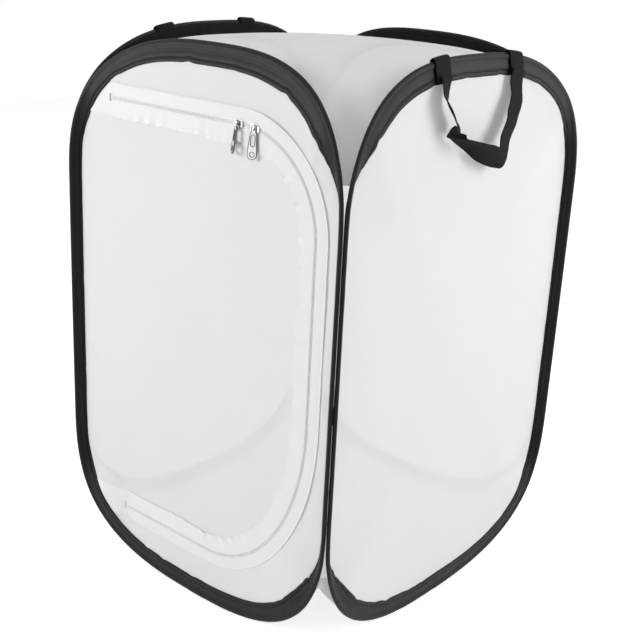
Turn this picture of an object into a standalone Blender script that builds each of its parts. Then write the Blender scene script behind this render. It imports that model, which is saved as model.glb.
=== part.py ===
# Insect cage: four sprung hoops in black fabric sleeves carry gauze walls, with a zipped
# door in the front and a webbing handle on each side. Metres, +Z up, front towards -Y.
import math

import bmesh
import bpy
import numpy as np
from mathutils import Matrix, Vector

# Overall size
WIDTH = 0.400
DEPTH = 0.420
HEIGHT = 0.600

# Shared clearances and counts
GAP = 0.0003
NET_THICKNESS = 0.0006
LOOP_STEPS = 66
FINE_STEPS = 90
RIM_SEARCH_STEPS = 1200
SHARP_ANGLE = math.radians(32)
NET_RING_SHARES = (1.0, 0.82, 0.45)
NET_SAG_POWER = 3

# Outline of the four loops
CORNER_HEIGHT = 0.160
SQUARENESS = 2.7
GROUND_CUT = 0.0005
SEAM_BOW = 0.0008
TOP_LEAN_FRONT = 0.031
TOP_LEAN_SIDE = 0.015
BOTTOM_LEAN = 0.006

# Fabric sleeves: a band with a rim that holds the hoop
BAND_WIDTH = 0.022
FIN_WIDTH = 0.016
RIM_THICKNESS = 0.0044
RIM_DEPTH = 0.0055
RIM_WALL = 0.0014
SIDE_WALL = 0.0005
BAND_EDGE_THICKNESS = 0.0020
BAND_SLIT = 0.0009
FIN_ANGLE = math.radians(45)
FIN_REACH_SHARE = 0.58
TWIST_REACH_SHARE = 0.27

# Spring steel hoops and the ferrules that close them
HOOP_WIDTH = 0.0016
HOOP_THICKNESS = 0.0008
HOOP_END_GAP = 0.0010
FERRULE_WALL = 0.0003
FERRULE_LENGTH = 0.016

# Gauze top and floor
TOP_TIP_DROP = 0.103
FLOOR_TIP_HEIGHT = 0.103
TOP_SEAT_SHARE = 0.86
FLOOR_SEAT_SHARE = 0.14
TOP_CENTRE_DROP = 0.010
FLOOR_CENTRE_HEIGHT = 0.0035
SEAT_CLEARANCE = 0.0008
PANEL_STEPS = 28
PANEL_RING_SHARES = (1.0, 0.95, 0.88, 0.78, 0.60)
TOP_FALL_POWER = 7
FLOOR_FALL_POWER = 3

# Door opening and its zip
DOOR_INSET = 0.012
ZIP_TOP_INSET = 0.068
ZIP_BOTTOM_INSET = 0.062
ZIP_SIDE_INSET = 0.042
HINGE_TOP_INSET = 0.070
HINGE_BOTTOM_INSET = 0.088
TOP_ARC_RADIUS = 0.097
BOTTOM_ARC_WIDTH = 0.135
BOTTOM_ARC_HEIGHT = 0.190
ARC_STEPS = 20
RUN_STEPS = 4

# Zip tapes, coils and bindings
COIL_WIDTH = 0.0018
COIL_HEIGHT = 0.0014
POST_WIDTH = 0.0006
TAPE_THICKNESS = 0.0006
FRAME_TAPE_WIDTH = 0.0080
DOOR_TAPE_WIDTH = 0.0140
TACK_WIDTH = 0.0016
TACK_HEIGHT = 0.0090
TACK_THICKNESS = 0.0010
HINGE_CLEARANCE = 0.0024

# Zip sliders and pulls
SLIDER_LENGTH = 0.0090
SLIDER_PLATE_WIDTH = 0.0048
SLIDER_FRONT_THICKNESS = 0.0010
SLIDER_BACK_THICKNESS = 0.0008
SLIDER_SPACING = 0.0220
BAIL_WIDTH = 0.0010
BAIL_THICKNESS = 0.0007
BAIL_TUNNEL = 0.0020
PULL_LENGTH = 0.0310
PULL_WIDTH = 0.0058
PULL_TIP_WIDTH = 0.0080
PULL_THICKNESS = 0.0010
PULL_EYE_WIDTH = 0.0032
PULL_EYE_LENGTH = 0.0050
PULL_SLOT_WIDTH = 0.0022
PULL_SLOT_LENGTH = 0.0120
PULL_HOLE_RADIUS = 0.0022
PULL_TIP_STEPS = 20

# Webbing handles
STRAP_WIDTH = 0.024
STRAP_THICKNESS = 0.0014
HANDLE_SPAN = 0.130
HANDLE_DROP = 0.080
HANDLE_SWAY = 0.018
HANDLE_STAND_OFF = 0.012
HANDLE_OFFSET_RIGHT = 0.003
HANDLE_OFFSET_LEFT = 0.016
HANDLE_LAP = 0.003
FOOT_OUTER_DROP = 0.020
FOOT_INNER_DROP = 0.002
FOOT_STATION_SHARES = (-1.0, -0.5, 0.0, 0.5, 1.0)
HANDLE_STEPS = 36
HANDLE_FALL_POWER = 0.8
HANDLE_SIDE_POWER = 0.8
HANDLE_OUT_POWER = 0.6
STRAP_LOWEST_ANGLE = math.radians(50)

# Finishes: colour, roughness, metallic
BLACK_TAPE = ((0.012, 0.012, 0.013), 0.78, 0.0)
STEEL = ((0.42, 0.43, 0.45), 0.35, 1.0)
GAUZE = ((0.86, 0.87, 0.88), 0.90, 0.0)
WHITE_TAPE = ((0.92, 0.92, 0.92), 0.80, 0.0)
NYLON = ((0.90, 0.90, 0.90), 0.45, 0.0)
NICKEL = ((0.70, 0.70, 0.71), 0.25, 1.0)
WEBBING = ((0.010, 0.010, 0.011), 0.85, 0.0)

# Worked-out sizes
RIM_PLANE_X = WIDTH / 2 - RIM_THICKNESS / 2
RIM_PLANE_Y = DEPTH / 2 - RIM_THICKNESS / 2
SEAM_INSET = (RIM_THICKNESS / 2 + GAP / 2) * math.sin(FIN_ANGLE)
SEAM_CORNER_X = RIM_PLANE_X - SEAM_INSET
SEAM_CORNER_Y = RIM_PLANE_Y - SEAM_INSET
FIN_END_INSET = (FIN_WIDTH + GAP) * math.sin(FIN_ANGLE)
HOOP_DEPTH = RIM_WALL + GAP + FERRULE_WALL + GAP + HOOP_THICKNESS / 2
DOOR_PLANE = -(DEPTH / 2 - DOOR_INSET)
ZIP_TOP = HEIGHT - ZIP_TOP_INSET
ZIP_BOTTOM = ZIP_BOTTOM_INSET
ZIP_RIGHT = WIDTH / 2 - ZIP_SIDE_INSET
HINGE_TOP_X = HINGE_TOP_INSET - WIDTH / 2
HINGE_BOTTOM_X = HINGE_BOTTOM_INSET - WIDTH / 2
HINGE_Y = DOOR_PLANE - NET_THICKNESS / 2 - GAP / 2
NET_EDGE = POST_WIDTH / 2 + GAP + COIL_WIDTH + 2 * GAP
TAPE_START = POST_WIDTH / 2 + GAP + COIL_WIDTH + GAP
TAPE_FRONT = DOOR_PLANE - NET_THICKNESS / 2 - GAP
COIL_CENTRE = TAPE_FRONT - TAPE_THICKNESS / 2
ARC_CENTRE_X = ZIP_RIGHT - TOP_ARC_RADIUS
ARC_CENTRE_Z = ZIP_TOP - TOP_ARC_RADIUS
SLIDER_A_X = ARC_CENTRE_X - SLIDER_LENGTH / 2
SLIDER_B_ANGLE = (SLIDER_SPACING - SLIDER_LENGTH / 2) / TOP_ARC_RADIUS
SLIDER_FACE = COIL_CENTRE - COIL_HEIGHT / 2 - GAP - SLIDER_FRONT_THICKNESS
PULL_PIVOT_Y = SLIDER_FACE - BAIL_TUNNEL / 2
PULL_RISE = SLIDER_PLATE_WIDTH / 2 - POST_WIDTH / 2


class Panel:
    """One of the four upright walls: where it stands and how its loop leans."""

    def __init__(self, name, along, out, plane, half_width, half_size, top_lean):
        self.name = name
        self.along = Vector(along)
        self.out = Vector(out)
        self.plane = plane
        self.half_width = half_width
        self.half_size = half_size
        self.top_lean = top_lean

    def inset(self, z):
        """How far the loop stands in from its plane at a height."""
        lean = BOTTOM_LEAN if z < HEIGHT / 2 else self.top_lean
        return seam_bow(z) + lean * corner_share(z) ** SQUARENESS

    def place(self, s, z, inset):
        """World point at s along the wall, at a height, at a depth in from the plane."""
        across = s * (1 - seam_bow(z) / self.half_size)
        point = self.along * across + self.out * (self.plane - inset)
        point.z = z
        return point


def seam_bow(z):
    return SEAM_BOW * (2 * z / HEIGHT - 1) ** 2


def corner_share(z):
    """0 along the straight seam, 1 at the very top or bottom of a loop."""
    reach = CORNER_HEIGHT - min(z, HEIGHT - z)
    return min(max(reach / CORNER_HEIGHT, 0.0), 1.0)


def fin_turn(z):
    """How far a band has turned into the corner: 1 along the seam, 0 at top and bottom."""
    away = abs(2 * z / HEIGHT - 1) - FIN_REACH_SHARE
    share = min(max(1 - away / TWIST_REACH_SHARE, 0.0), 1.0)
    return share * share * (3 - 2 * share)


def make_panels():
    inner_x = RIM_PLANE_X - 2 * SEAM_INSET
    inner_y = RIM_PLANE_Y - 2 * SEAM_INSET
    return {
        "front": Panel("front", (1, 0, 0), (0, -1, 0), RIM_PLANE_Y, inner_x, WIDTH / 2, TOP_LEAN_FRONT),
        "right": Panel("right", (0, 1, 0), (1, 0, 0), RIM_PLANE_X, inner_y, DEPTH / 2, TOP_LEAN_SIDE),
        "rear": Panel("rear", (-1, 0, 0), (0, 1, 0), RIM_PLANE_Y, inner_x, WIDTH / 2, TOP_LEAN_FRONT),
        "left": Panel("left", (0, -1, 0), (-1, 0, 0), RIM_PLANE_X, inner_y, DEPTH / 2, TOP_LEAN_SIDE),
    }


# Outlines

def resample(points, steps, closed=False):
    """Points evenly spaced along a polyline."""
    points = np.array(points, dtype=float)
    if closed:
        points = np.vstack([points, points[:1]])
    runs = np.linalg.norm(np.diff(points, axis=0), axis=1)
    length = np.concatenate([[0.0], np.cumsum(runs)])
    wanted = np.linspace(0.0, length[-1], steps + 1)
    columns = [np.interp(wanted, length, points[:, k]) for k in range(points.shape[1])]
    even = np.stack(columns, axis=1)
    return even[:-1] if closed else even


def loop_outline(half_width, steps=LOOP_STEPS):
    """Closed outline of a loop in (s, z), from the bottom's middle towards +s."""
    power = 2 / SQUARENESS
    angles = np.linspace(0, math.pi / 2, FINE_STEPS)
    across = half_width * np.cos(angles) ** power
    rise = np.sin(angles) ** power
    top = HEIGHT - CORNER_HEIGHT + CORNER_HEIGHT * rise
    low = CORNER_HEIGHT - (CORNER_HEIGHT + GROUND_CUT) * rise
    lower = list(zip(across, low))[::-1]
    upper = list(zip(across, top))
    right = lower + upper
    left = [(-s, z) for s, z in right][::-1]
    return resample(right + left[1:-1], steps, closed=True)


def inward_normals(path):
    """Unit vectors pointing to the left of a closed counter-clockwise path."""
    ahead = np.roll(path, -1, axis=0) - np.roll(path, 1, axis=0)
    ahead /= np.linalg.norm(ahead, axis=1)[:, None]
    return np.stack([-ahead[:, 1], ahead[:, 0]], axis=1)


def band_point(panel, spot, normal, depth, across):
    """Point of a sleeve's section: depth in from the rim, across towards the outside."""
    angle = FIN_ANGLE * fin_turn(spot[1])
    along_wall = depth * math.cos(angle) + across * math.sin(angle)
    outwards = across * math.cos(angle) - depth * math.sin(angle)
    s, z = spot + normal * along_wall
    point = panel.place(s, z, panel.inset(z) - outwards)
    point.z = max(point.z, 0.0)
    return point


def band_width(z):
    return BAND_WIDTH + (FIN_WIDTH - BAND_WIDTH) * fin_turn(z)


# Mesh helpers

def new_object(name, mesh, material, body):
    obj = bpy.data.objects.new(name, mesh)
    bpy.context.collection.objects.link(obj)
    obj.data.materials.append(finish(material))
    obj.data.shade_smooth()
    obj.data.set_sharp_from_angle(angle=SHARP_ANGLE)
    obj.parent = body
    return obj


def finish(spec, made={}):
    name, (colour, roughness, metallic) = spec
    if name not in made:
        material = bpy.data.materials.new(name)
        material.use_nodes = True
        shader = material.node_tree.nodes["Principled BSDF"]
        shader.inputs["Base Color"].default_value = (*colour, 1.0)
        shader.inputs["Roughness"].default_value = roughness
        shader.inputs["Metallic"].default_value = metallic
        made[name] = material
    return made[name]


def close_mesh(name, bm, body):
    bmesh.ops.recalc_face_normals(bm, faces=bm.faces[:])
    if body is not None:
        bmesh.ops.translate(bm, verts=bm.verts[:], vec=-body.location)
    mesh = bpy.data.meshes.new(name)
    bm.to_mesh(mesh)
    bm.free()
    return mesh


def sweep(name, sections, material, body, closed=True, order=None):
    """Skin over a run of equal rings of points, closed on itself or capped.

    An order gives each point of a ring a place across the section. Twisted walls that lie
    back to back are then split along the same diagonals, and don't cut through each other.
    """
    bm = bmesh.new()
    rings = [[bm.verts.new(point) for point in section] for section in sections]
    pairs = list(zip(rings, rings[1:]))
    if closed:
        pairs.append((rings[-1], rings[0]))
    for first, second in pairs:
        for k in range(len(first)):
            after = (k + 1) % len(first)
            quad = (first[k], first[after], second[after], second[k])
            if order is None:
                bm.faces.new(quad)
                continue
            if order[k] < order[after]:
                quad = quad[1:] + quad[:1]
            bm.faces.new(quad[:3])
            bm.faces.new((quad[0], quad[2], quad[3]))
    if not closed:
        bm.faces.new(rings[0])
        bm.faces.new(rings[-1])
    return new_object(name, close_mesh(name, bm, body), material, body)


def tube(name, outer, inner, material, body):
    """Short open tube: outer and inner skins joined by a ring at each end."""
    bm = bmesh.new()
    skins = [[[bm.verts.new(p) for p in ring] for ring in skin] for skin in (outer, inner)]
    count = len(outer[0])
    for rings in skins:
        for first, second in zip(rings, rings[1:]):
            for k in range(count):
                after = (k + 1) % count
                bm.faces.new((first[k], first[after], second[after], second[k]))
    for end in (0, -1):
        for k in range(count):
            after = (k + 1) % count
            edge = (skins[0][end][k], skins[0][end][after], skins[1][end][after], skins[1][end][k])
            bm.faces.new(edge)
    return new_object(name, close_mesh(name, bm, body), material, body)


def sheet(name, rings, thickness, direction, material, body):
    """Thin closed sheet from nested rings of points. A last ring of one point is its middle."""
    bm = bmesh.new()
    shift = Vector(direction) * (thickness / 2)
    sides = []
    for sign in (1, -1):
        sides.append([[bm.verts.new(Vector(p) + shift * sign) for p in ring] for ring in rings])
    for side in sides:
        for outer, inner in zip(side, side[1:]):
            stitch(bm, outer, inner)
    edges = [0] if len(rings[-1]) == 1 else [0, -1]
    for edge in edges:
        front, back = sides[0][edge], sides[1][edge]
        for k in range(len(front)):
            after = (k + 1) % len(front)
            bm.faces.new((front[k], front[after], back[after], back[k]))
    return new_object(name, close_mesh(name, bm, body), material, body)


def stitch(bm, outer, inner):
    """Faces between two closed rings, also where one has more points than the other."""
    if len(inner) == 1:
        for k in range(len(outer)):
            bm.faces.new((outer[k], outer[(k + 1) % len(outer)], inner[0]))
        return
    if len(outer) == len(inner):
        for k in range(len(outer)):
            after = (k + 1) % len(outer)
            bm.faces.new((outer[k], outer[after], inner[after], inner[k]))
        return
    i = j = 0
    while i < len(outer) or j < len(inner):
        here, there = outer[i % len(outer)], inner[j % len(inner)]
        step_out = (outer[(i + 1) % len(outer)].co - there.co).length
        step_in = (inner[(j + 1) % len(inner)].co - here.co).length
        if j >= len(inner) or (i < len(outer) and step_out <= step_in):
            bm.faces.new((here, outer[(i + 1) % len(outer)], there))
            i += 1
        else:
            bm.faces.new((here, inner[(j + 1) % len(inner)], there))
            j += 1


def block(name, low, high, material=None, body=None, helper=False):
    """Plain box between two corners. A helper only takes part in a Boolean."""
    bm = bmesh.new()
    bmesh.ops.create_cube(bm, size=1.0)
    low, high = Vector(low), Vector(high)
    for vert in bm.verts:
        vert.co = Vector([(low[k] + high[k]) / 2 + vert.co[k] * (high[k] - low[k]) for k in range(3)])
    if helper:
        return helper_object(name, close_mesh(name, bm, body), body)
    return new_object(name, close_mesh(name, bm, body), material, body)


def helper_object(name, mesh, body):
    obj = bpy.data.objects.new(name, mesh)
    bpy.context.collection.objects.link(obj)
    obj.parent = body
    obj.hide_render = True
    obj.display_type = "WIRE"
    return obj


def combine(obj, other, operation):
    modifier = obj.modifiers.new(other.name, "BOOLEAN")
    modifier.operation = operation
    modifier.solver = "EXACT"
    modifier.object = other


def add_body(name, location, parent=None, turn=0.0):
    """Empty on a joint's axis that carries one moving body."""
    empty = bpy.data.objects.new(name + "_axis", None)
    bpy.context.collection.objects.link(empty)
    empty.location = location
    empty.rotation_euler = (0, turn, 0)
    if parent is not None:
        carried = Matrix.LocRotScale(parent.location, parent.rotation_euler, None)
        empty.parent = parent
        empty.matrix_parent_inverse = carried.inverted()
    return empty


# Sleeves, hoops and wall nets

def make_sleeve(panel, body):
    path = loop_outline(panel.half_width)
    normals = inward_normals(path)
    half_rim, half_edge = RIM_THICKNESS / 2, BAND_EDGE_THICKNESS / 2
    half_room, half_slit = RIM_THICKNESS / 2 - SIDE_WALL, BAND_SLIT / 2
    sections = []
    for spot, normal in zip(path, normals):
        width = band_width(spot[1])
        outer = [(width, half_edge), (RIM_DEPTH, half_rim), (0.0, half_rim)]
        inner = [(RIM_WALL, half_room), (RIM_DEPTH - GAP, half_room), (width, half_slit)]
        profile = outer + [(h, -n) for h, n in outer[::-1]]
        profile += [(h, -n) for h, n in inner[::-1]] + inner
        sections.append([band_point(panel, spot, normal, h, n) for h, n in profile])
    depths = [h for h, _ in profile]
    sweep(panel.name + "_sleeve", sections, ("black_tape", BLACK_TAPE), body, order=depths)


def box_ring(panel, spot, normal, half_depth, half_across):
    corners = ((1, 1), (1, -1), (-1, -1), (-1, 1))
    return [band_point(panel, spot, normal, HOOP_DEPTH + a * half_depth, b * half_across)
            for a, b in corners]


def make_hoop(panel, body):
    path = loop_outline(panel.half_width)
    normals = inward_normals(path)
    start = path[0] + np.array([HOOP_END_GAP / 2, 0.0])
    end = path[0] - np.array([HOOP_END_GAP / 2, 0.0])
    spots = [start] + list(path[1:]) + [end]
    turns = [normals[0]] + list(normals[1:]) + [normals[0]]
    half_depth, half_across = HOOP_THICKNESS / 2, HOOP_WIDTH / 2
    sections = [box_ring(panel, spot, turn, half_depth, half_across) for spot, turn in zip(spots, turns)]
    sweep(panel.name + "_hoop", sections, ("spring_steel", STEEL), body, closed=False)


def make_ferrule(panel, body):
    path = loop_outline(panel.half_width)
    normal = inward_normals(path)[0]
    spots = [path[0] + np.array([side * FERRULE_LENGTH / 2, 0.0]) for side in (-1, 1)]
    bore_depth, bore_across = HOOP_THICKNESS / 2 + GAP, HOOP_WIDTH / 2 + GAP
    outer_depth, outer_across = bore_depth + FERRULE_WALL, bore_across + FERRULE_WALL
    outer = [box_ring(panel, spot, normal, outer_depth, outer_across) for spot in spots]
    inner = [box_ring(panel, spot, normal, bore_depth, bore_across) for spot in spots]
    tube(panel.name + "_ferrule", outer, inner, ("spring_steel", STEEL), body)


def net_edge(panel):
    """Where a wall's gauze meets its sleeve: spots in (s, z) and their depth."""
    path = loop_outline(panel.half_width)
    spots = []
    for spot, normal in zip(path, inward_normals(path)):
        angle = FIN_ANGLE * fin_turn(spot[1])
        width = band_width(spot[1])
        along = width * math.cos(angle) + BAND_EDGE_THICKNESS / 2 * math.sin(angle) + 2 * GAP
        s, z = spot + normal * along
        spots.append((s, z, panel.inset(z) + width * math.sin(angle)))
    return spots


def make_net(panel, body):
    edge = net_edge(panel)
    middle_depth = FIN_WIDTH * math.sin(FIN_ANGLE)
    centre = HEIGHT / 2
    rings = []
    for share in NET_RING_SHARES:
        ring = []
        for s, z, depth in edge:
            inset = middle_depth + (depth - middle_depth) * share ** NET_SAG_POWER
            across = s * (1 - seam_bow(z) / panel.half_size) * share
            point = panel.along * across + panel.out * (panel.plane - inset)
            point.z = centre + (z - centre) * share
            ring.append(point)
        rings.append(ring)
    middle = panel.out * (panel.plane - middle_depth)
    middle.z = centre
    rings.append([middle])
    sheet(panel.name + "_net", rings, NET_THICKNESS, panel.out, ("gauze", GAUZE), body)


# Gauze top and floor

def seat_point(panel, spot, normal, seat_share):
    """Point on a band's inner side, at a share of the way from its rim to its inner edge."""
    width = band_width(spot[1])
    depth = seat_share * width
    thinned = max(depth - RIM_DEPTH, 0.0) / (width - RIM_DEPTH)
    half_band = (RIM_THICKNESS + (BAND_EDGE_THICKNESS - RIM_THICKNESS) * thinned) / 2
    return band_point(panel, spot, normal, depth, -(half_band + SEAT_CLEARANCE + NET_THICKNESS / 2))


def seat_arc(panel, tip_height, seat_share, upper):
    """Seat of the top or floor along one loop."""
    path = loop_outline(panel.half_width, steps=RIM_SEARCH_STEPS)
    normals = inward_normals(path)
    keep = [k for k, spot in enumerate(path) if (spot[1] > tip_height if upper else spot[1] < tip_height)]
    run = sorted(keep, key=lambda k: path[k][0])
    arc = resample([seat_point(panel, path[k], normals[k], seat_share) for k in run], PANEL_STEPS)
    return [Vector(point) for point in arc]


def make_cover(name, panels, tip_height, centre_height, seat_share, fall_power, upper):
    edge = []
    for panel in panels.values():
        edge += seat_arc(panel, tip_height, seat_share, upper)
    rings = []
    for share in PANEL_RING_SHARES:
        ring = []
        for point in edge:
            rise = (point.z - centre_height) * share ** fall_power
            ring.append(Vector((point.x * share, point.y * share, centre_height + rise)))
        rings.append(ring)
    rings.append([Vector((0, 0, centre_height))])
    sheet(name, rings, NET_THICKNESS, (0, 0, 1), ("gauze", GAUZE), None)


# Door and zip

def zip_track():
    """Open path of the zip in (x, z), from the top left round to the bottom left."""
    start = (hinge_x(ZIP_TOP) + TACK_WIDTH, ZIP_TOP)
    points = [(start[0] + (ARC_CENTRE_X - start[0]) * k / RUN_STEPS, ZIP_TOP) for k in range(RUN_STEPS)]
    for k in range(ARC_STEPS + 1):
        angle = math.pi / 2 * k / ARC_STEPS
        points.append((ARC_CENTRE_X + TOP_ARC_RADIUS * math.sin(angle),
                       ARC_CENTRE_Z + TOP_ARC_RADIUS * math.cos(angle)))
    low_x, low_z = ZIP_RIGHT - BOTTOM_ARC_WIDTH, ZIP_BOTTOM + BOTTOM_ARC_HEIGHT
    for k in range(ARC_STEPS + 1):
        angle = math.pi / 2 * k / ARC_STEPS
        points.append((low_x + BOTTOM_ARC_WIDTH * math.cos(angle),
                       low_z - BOTTOM_ARC_HEIGHT * math.sin(angle)))
    end = (hinge_x(ZIP_BOTTOM) + TACK_WIDTH, ZIP_BOTTOM)
    points += [(low_x + (end[0] - low_x) * k / RUN_STEPS, ZIP_BOTTOM) for k in range(1, RUN_STEPS + 1)]
    return np.array(points)


def hinge_x(z):
    share = (z - ZIP_BOTTOM) / (ZIP_TOP - ZIP_BOTTOM)
    return HINGE_BOTTOM_X + (HINGE_TOP_X - HINGE_BOTTOM_X) * share


def offset_path(path, distance):
    """Open path moved sideways: positive is away from the door's middle."""
    ahead = np.gradient(path, axis=0)
    ahead /= np.linalg.norm(ahead, axis=1)[:, None]
    outward = np.stack([-ahead[:, 1], ahead[:, 0]], axis=1)
    return path + outward * distance


def strip(name, path, near, far, y_front, y_back, material, body):
    """Flat strip along a path, between two offsets and two depths."""
    inner, outer = offset_path(path, near), offset_path(path, far)
    sections = []
    for a, b in zip(inner, outer):
        sections.append([(a[0], y_front, a[1]), (b[0], y_front, b[1]),
                         (b[0], y_back, b[1]), (a[0], y_back, a[1])])
    sweep(name, sections, material, body, closed=False)


def door_outline(offset, side_gap):
    """Closed D-shaped outline in (x, z), with its straight side along the hinge line."""
    path = offset_path(zip_track(), offset)
    top = (hinge_x(path[0][1]) + side_gap, path[0][1])
    bottom = (hinge_x(path[-1][1]) + side_gap, path[-1][1])
    return [top] + [tuple(point) for point in path] + [bottom]


def make_front_surround(panel, body):
    rings = [[panel.place(s, z, depth) for s, z, depth in net_edge(panel)]]
    side_room = HINGE_CLEARANCE + TACK_WIDTH + GAP
    flat = [(NET_EDGE + FRAME_TAPE_WIDTH, -side_room), (NET_EDGE, -GAP / 2)]
    for offset, side_gap in flat:
        ring = [Vector((x, DOOR_PLANE, z)) for x, z in door_outline(offset, side_gap)[::-1]]
        if len(rings) == 1:
            first = min(range(len(ring)), key=lambda k: (ring[k] - rings[0][0]).length)
        rings.append(ring[first:] + ring[:first])
    sheet("front_surround", rings, NET_THICKNESS, panel.out, ("gauze", GAUZE), body)


def make_door_net(body):
    outline = [Vector((x, DOOR_PLANE, z)) for x, z in door_outline(-NET_EDGE, GAP / 2)[::-1]]
    middle = sum(outline, Vector()) / len(outline)
    sheet("door_net", [outline, [middle]], NET_THICKNESS, (0, -1, 0), ("gauze", GAUZE), body)


def make_zip(frame_body, door_body):
    path = zip_track()
    coil_start = POST_WIDTH / 2 + GAP
    coil_front, coil_back = COIL_CENTRE - COIL_HEIGHT / 2, COIL_CENTRE + COIL_HEIGHT / 2
    back = DOOR_PLANE + NET_THICKNESS / 2 + GAP
    widths = {"frame": (1, FRAME_TAPE_WIDTH, frame_body), "door": (-1, DOOR_TAPE_WIDTH, door_body)}
    for side, (sign, width, body) in widths.items():
        strip("zip_coil_" + side, path, sign * coil_start, sign * (coil_start + COIL_WIDTH),
              coil_front, coil_back, ("nylon_coil", NYLON), body)
        strip("zip_tape_" + side, path, sign * TAPE_START, sign * (TAPE_START + width),
              TAPE_FRONT - TAPE_THICKNESS, TAPE_FRONT, ("white_tape", WHITE_TAPE), body)
        strip(side + "_binding", path, sign * (NET_EDGE + GAP), sign * (TAPE_START + width),
              back, back + TAPE_THICKNESS, ("white_tape", WHITE_TAPE), body)
    for name, z in (("top_zip_tack", ZIP_TOP), ("bottom_zip_tack", ZIP_BOTTOM)):
        right = min(hinge_x(z - TACK_HEIGHT / 2), hinge_x(z + TACK_HEIGHT / 2)) - HINGE_CLEARANCE
        low = (right - TACK_WIDTH, TAPE_FRONT - TACK_THICKNESS, z - TACK_HEIGHT / 2)
        high = (right, TAPE_FRONT, z + TACK_HEIGHT / 2)
        block(name, low, high, ("white_tape", WHITE_TAPE), frame_body)


# Sliders and pulls

def make_slider(name, x, z, body):
    """Clip round the frame side's coil, with a bail in front that holds the pull."""
    half = SLIDER_LENGTH / 2
    post = POST_WIDTH / 2
    front_top = z - post + SLIDER_PLATE_WIDTH
    plate_back = SLIDER_FACE + SLIDER_FRONT_THICKNESS
    coil_back = COIL_CENTRE + COIL_HEIGHT / 2 + GAP
    rear = coil_back + SLIDER_BACK_THICKNESS
    slider = block(name, (x - half, SLIDER_FACE, z - post), (x + half, plate_back, front_top),
                   ("nickel", NICKEL), body)
    pieces = {
        "post": ((x - half, plate_back - GAP, z - post), (x + half, rear, z + post)),
        "back": ((x - half, coil_back, z - post), (x + half, rear, z + TAPE_START - GAP)),
    }
    reach = BAIL_TUNNEL / 2 + BAIL_THICKNESS
    front = SLIDER_FACE - BAIL_TUNNEL
    middle = z + PULL_RISE
    low_x, high_x = x - BAIL_WIDTH / 2, x + BAIL_WIDTH / 2
    root_y = SLIDER_FACE + GAP
    for side, low_z in (("low", middle - reach), ("high", middle + reach - BAIL_THICKNESS)):
        pieces["bail_" + side] = ((low_x, front, low_z), (high_x, root_y, low_z + BAIL_THICKNESS))
    pieces["bail_bar"] = ((low_x, front - BAIL_THICKNESS, middle - reach), (high_x, front, middle + reach))
    for part_name, (low, high) in pieces.items():
        combine(slider, block(name + "_" + part_name, low, high, body=body, helper=True), "UNION")


def pull_outline(x, z):
    """Tapered tag with a round lower end, hanging from its top bar."""
    top = z + PULL_THICKNESS / 2
    tip = top - PULL_LENGTH + PULL_TIP_WIDTH / 2
    points = [(x + PULL_WIDTH / 2, top), (x - PULL_WIDTH / 2, top)]
    for k in range(PULL_TIP_STEPS + 1):
        angle = math.pi + math.pi * k / PULL_TIP_STEPS
        points.append((x + PULL_TIP_WIDTH / 2 * math.cos(angle), tip + PULL_TIP_WIDTH / 2 * math.sin(angle)))
    return points


def make_pull(name, body):
    x, z = body.location.x, body.location.z
    low_y, high_y = PULL_PIVOT_Y - PULL_THICKNESS / 2, PULL_PIVOT_Y + PULL_THICKNESS / 2
    sections = [[(px, y, pz) for px, pz in pull_outline(x, z)] for y in (low_y, high_y)]
    pull = sweep(name, sections, ("nickel", NICKEL), body, closed=False)
    cut = PULL_THICKNESS
    eye_top = z - PULL_THICKNESS / 2
    eye_low = eye_top - PULL_EYE_LENGTH
    slot_top = eye_low - PULL_THICKNESS
    cuts = {
        "eye": ((x - PULL_EYE_WIDTH / 2, low_y - cut, eye_low), (x + PULL_EYE_WIDTH / 2, high_y + cut, eye_top)),
        "slot": ((x - PULL_SLOT_WIDTH / 2, low_y - cut, slot_top - PULL_SLOT_LENGTH),
                 (x + PULL_SLOT_WIDTH / 2, high_y + cut, slot_top)),
    }
    for part_name, (low, high) in cuts.items():
        combine(pull, block(name + "_" + part_name, low, high, body=body, helper=True), "DIFFERENCE")
    tip = z + PULL_THICKNESS / 2 - PULL_LENGTH + PULL_TIP_WIDTH / 2
    bm = bmesh.new()
    bmesh.ops.create_cone(bm, cap_ends=True, segments=PULL_TIP_STEPS, radius1=PULL_HOLE_RADIUS,
                          radius2=PULL_HOLE_RADIUS, depth=PULL_THICKNESS + 2 * cut)
    bmesh.ops.rotate(bm, verts=bm.verts[:], matrix=Matrix.Rotation(math.pi / 2, 3, "X"))
    bmesh.ops.translate(bm, verts=bm.verts[:], vec=(x, PULL_PIVOT_Y, tip))
    combine(pull, helper_object(name + "_hole", close_mesh(name + "_hole", bm, body), body), "DIFFERENCE")


# Handles

def rim_top(panel, s):
    """Height and depth of a loop's rim at a place along its top."""
    share = min(abs(s) / panel.half_width, 1.0)
    z = HEIGHT - CORNER_HEIGHT + CORNER_HEIGHT * (1 - share ** SQUARENESS) ** (1 / SQUARENESS)
    return z, panel.inset(z)


def handle_axis(panel, offset):
    """Line that a handle swings about: where its legs leave the rim's outer side."""
    rim_height, _ = rim_top(panel, abs(offset) + HANDLE_SPAN / 2)
    foot_end = rim_height - FOOT_OUTER_DROP
    outwards = RIM_THICKNESS / 2 + GAP + STRAP_THICKNESS + GAP + STRAP_THICKNESS / 2
    spot = panel.along * offset + panel.out * (panel.plane - panel.inset(foot_end) + outwards)
    spot.z = foot_end + HANDLE_LAP
    return spot


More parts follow.
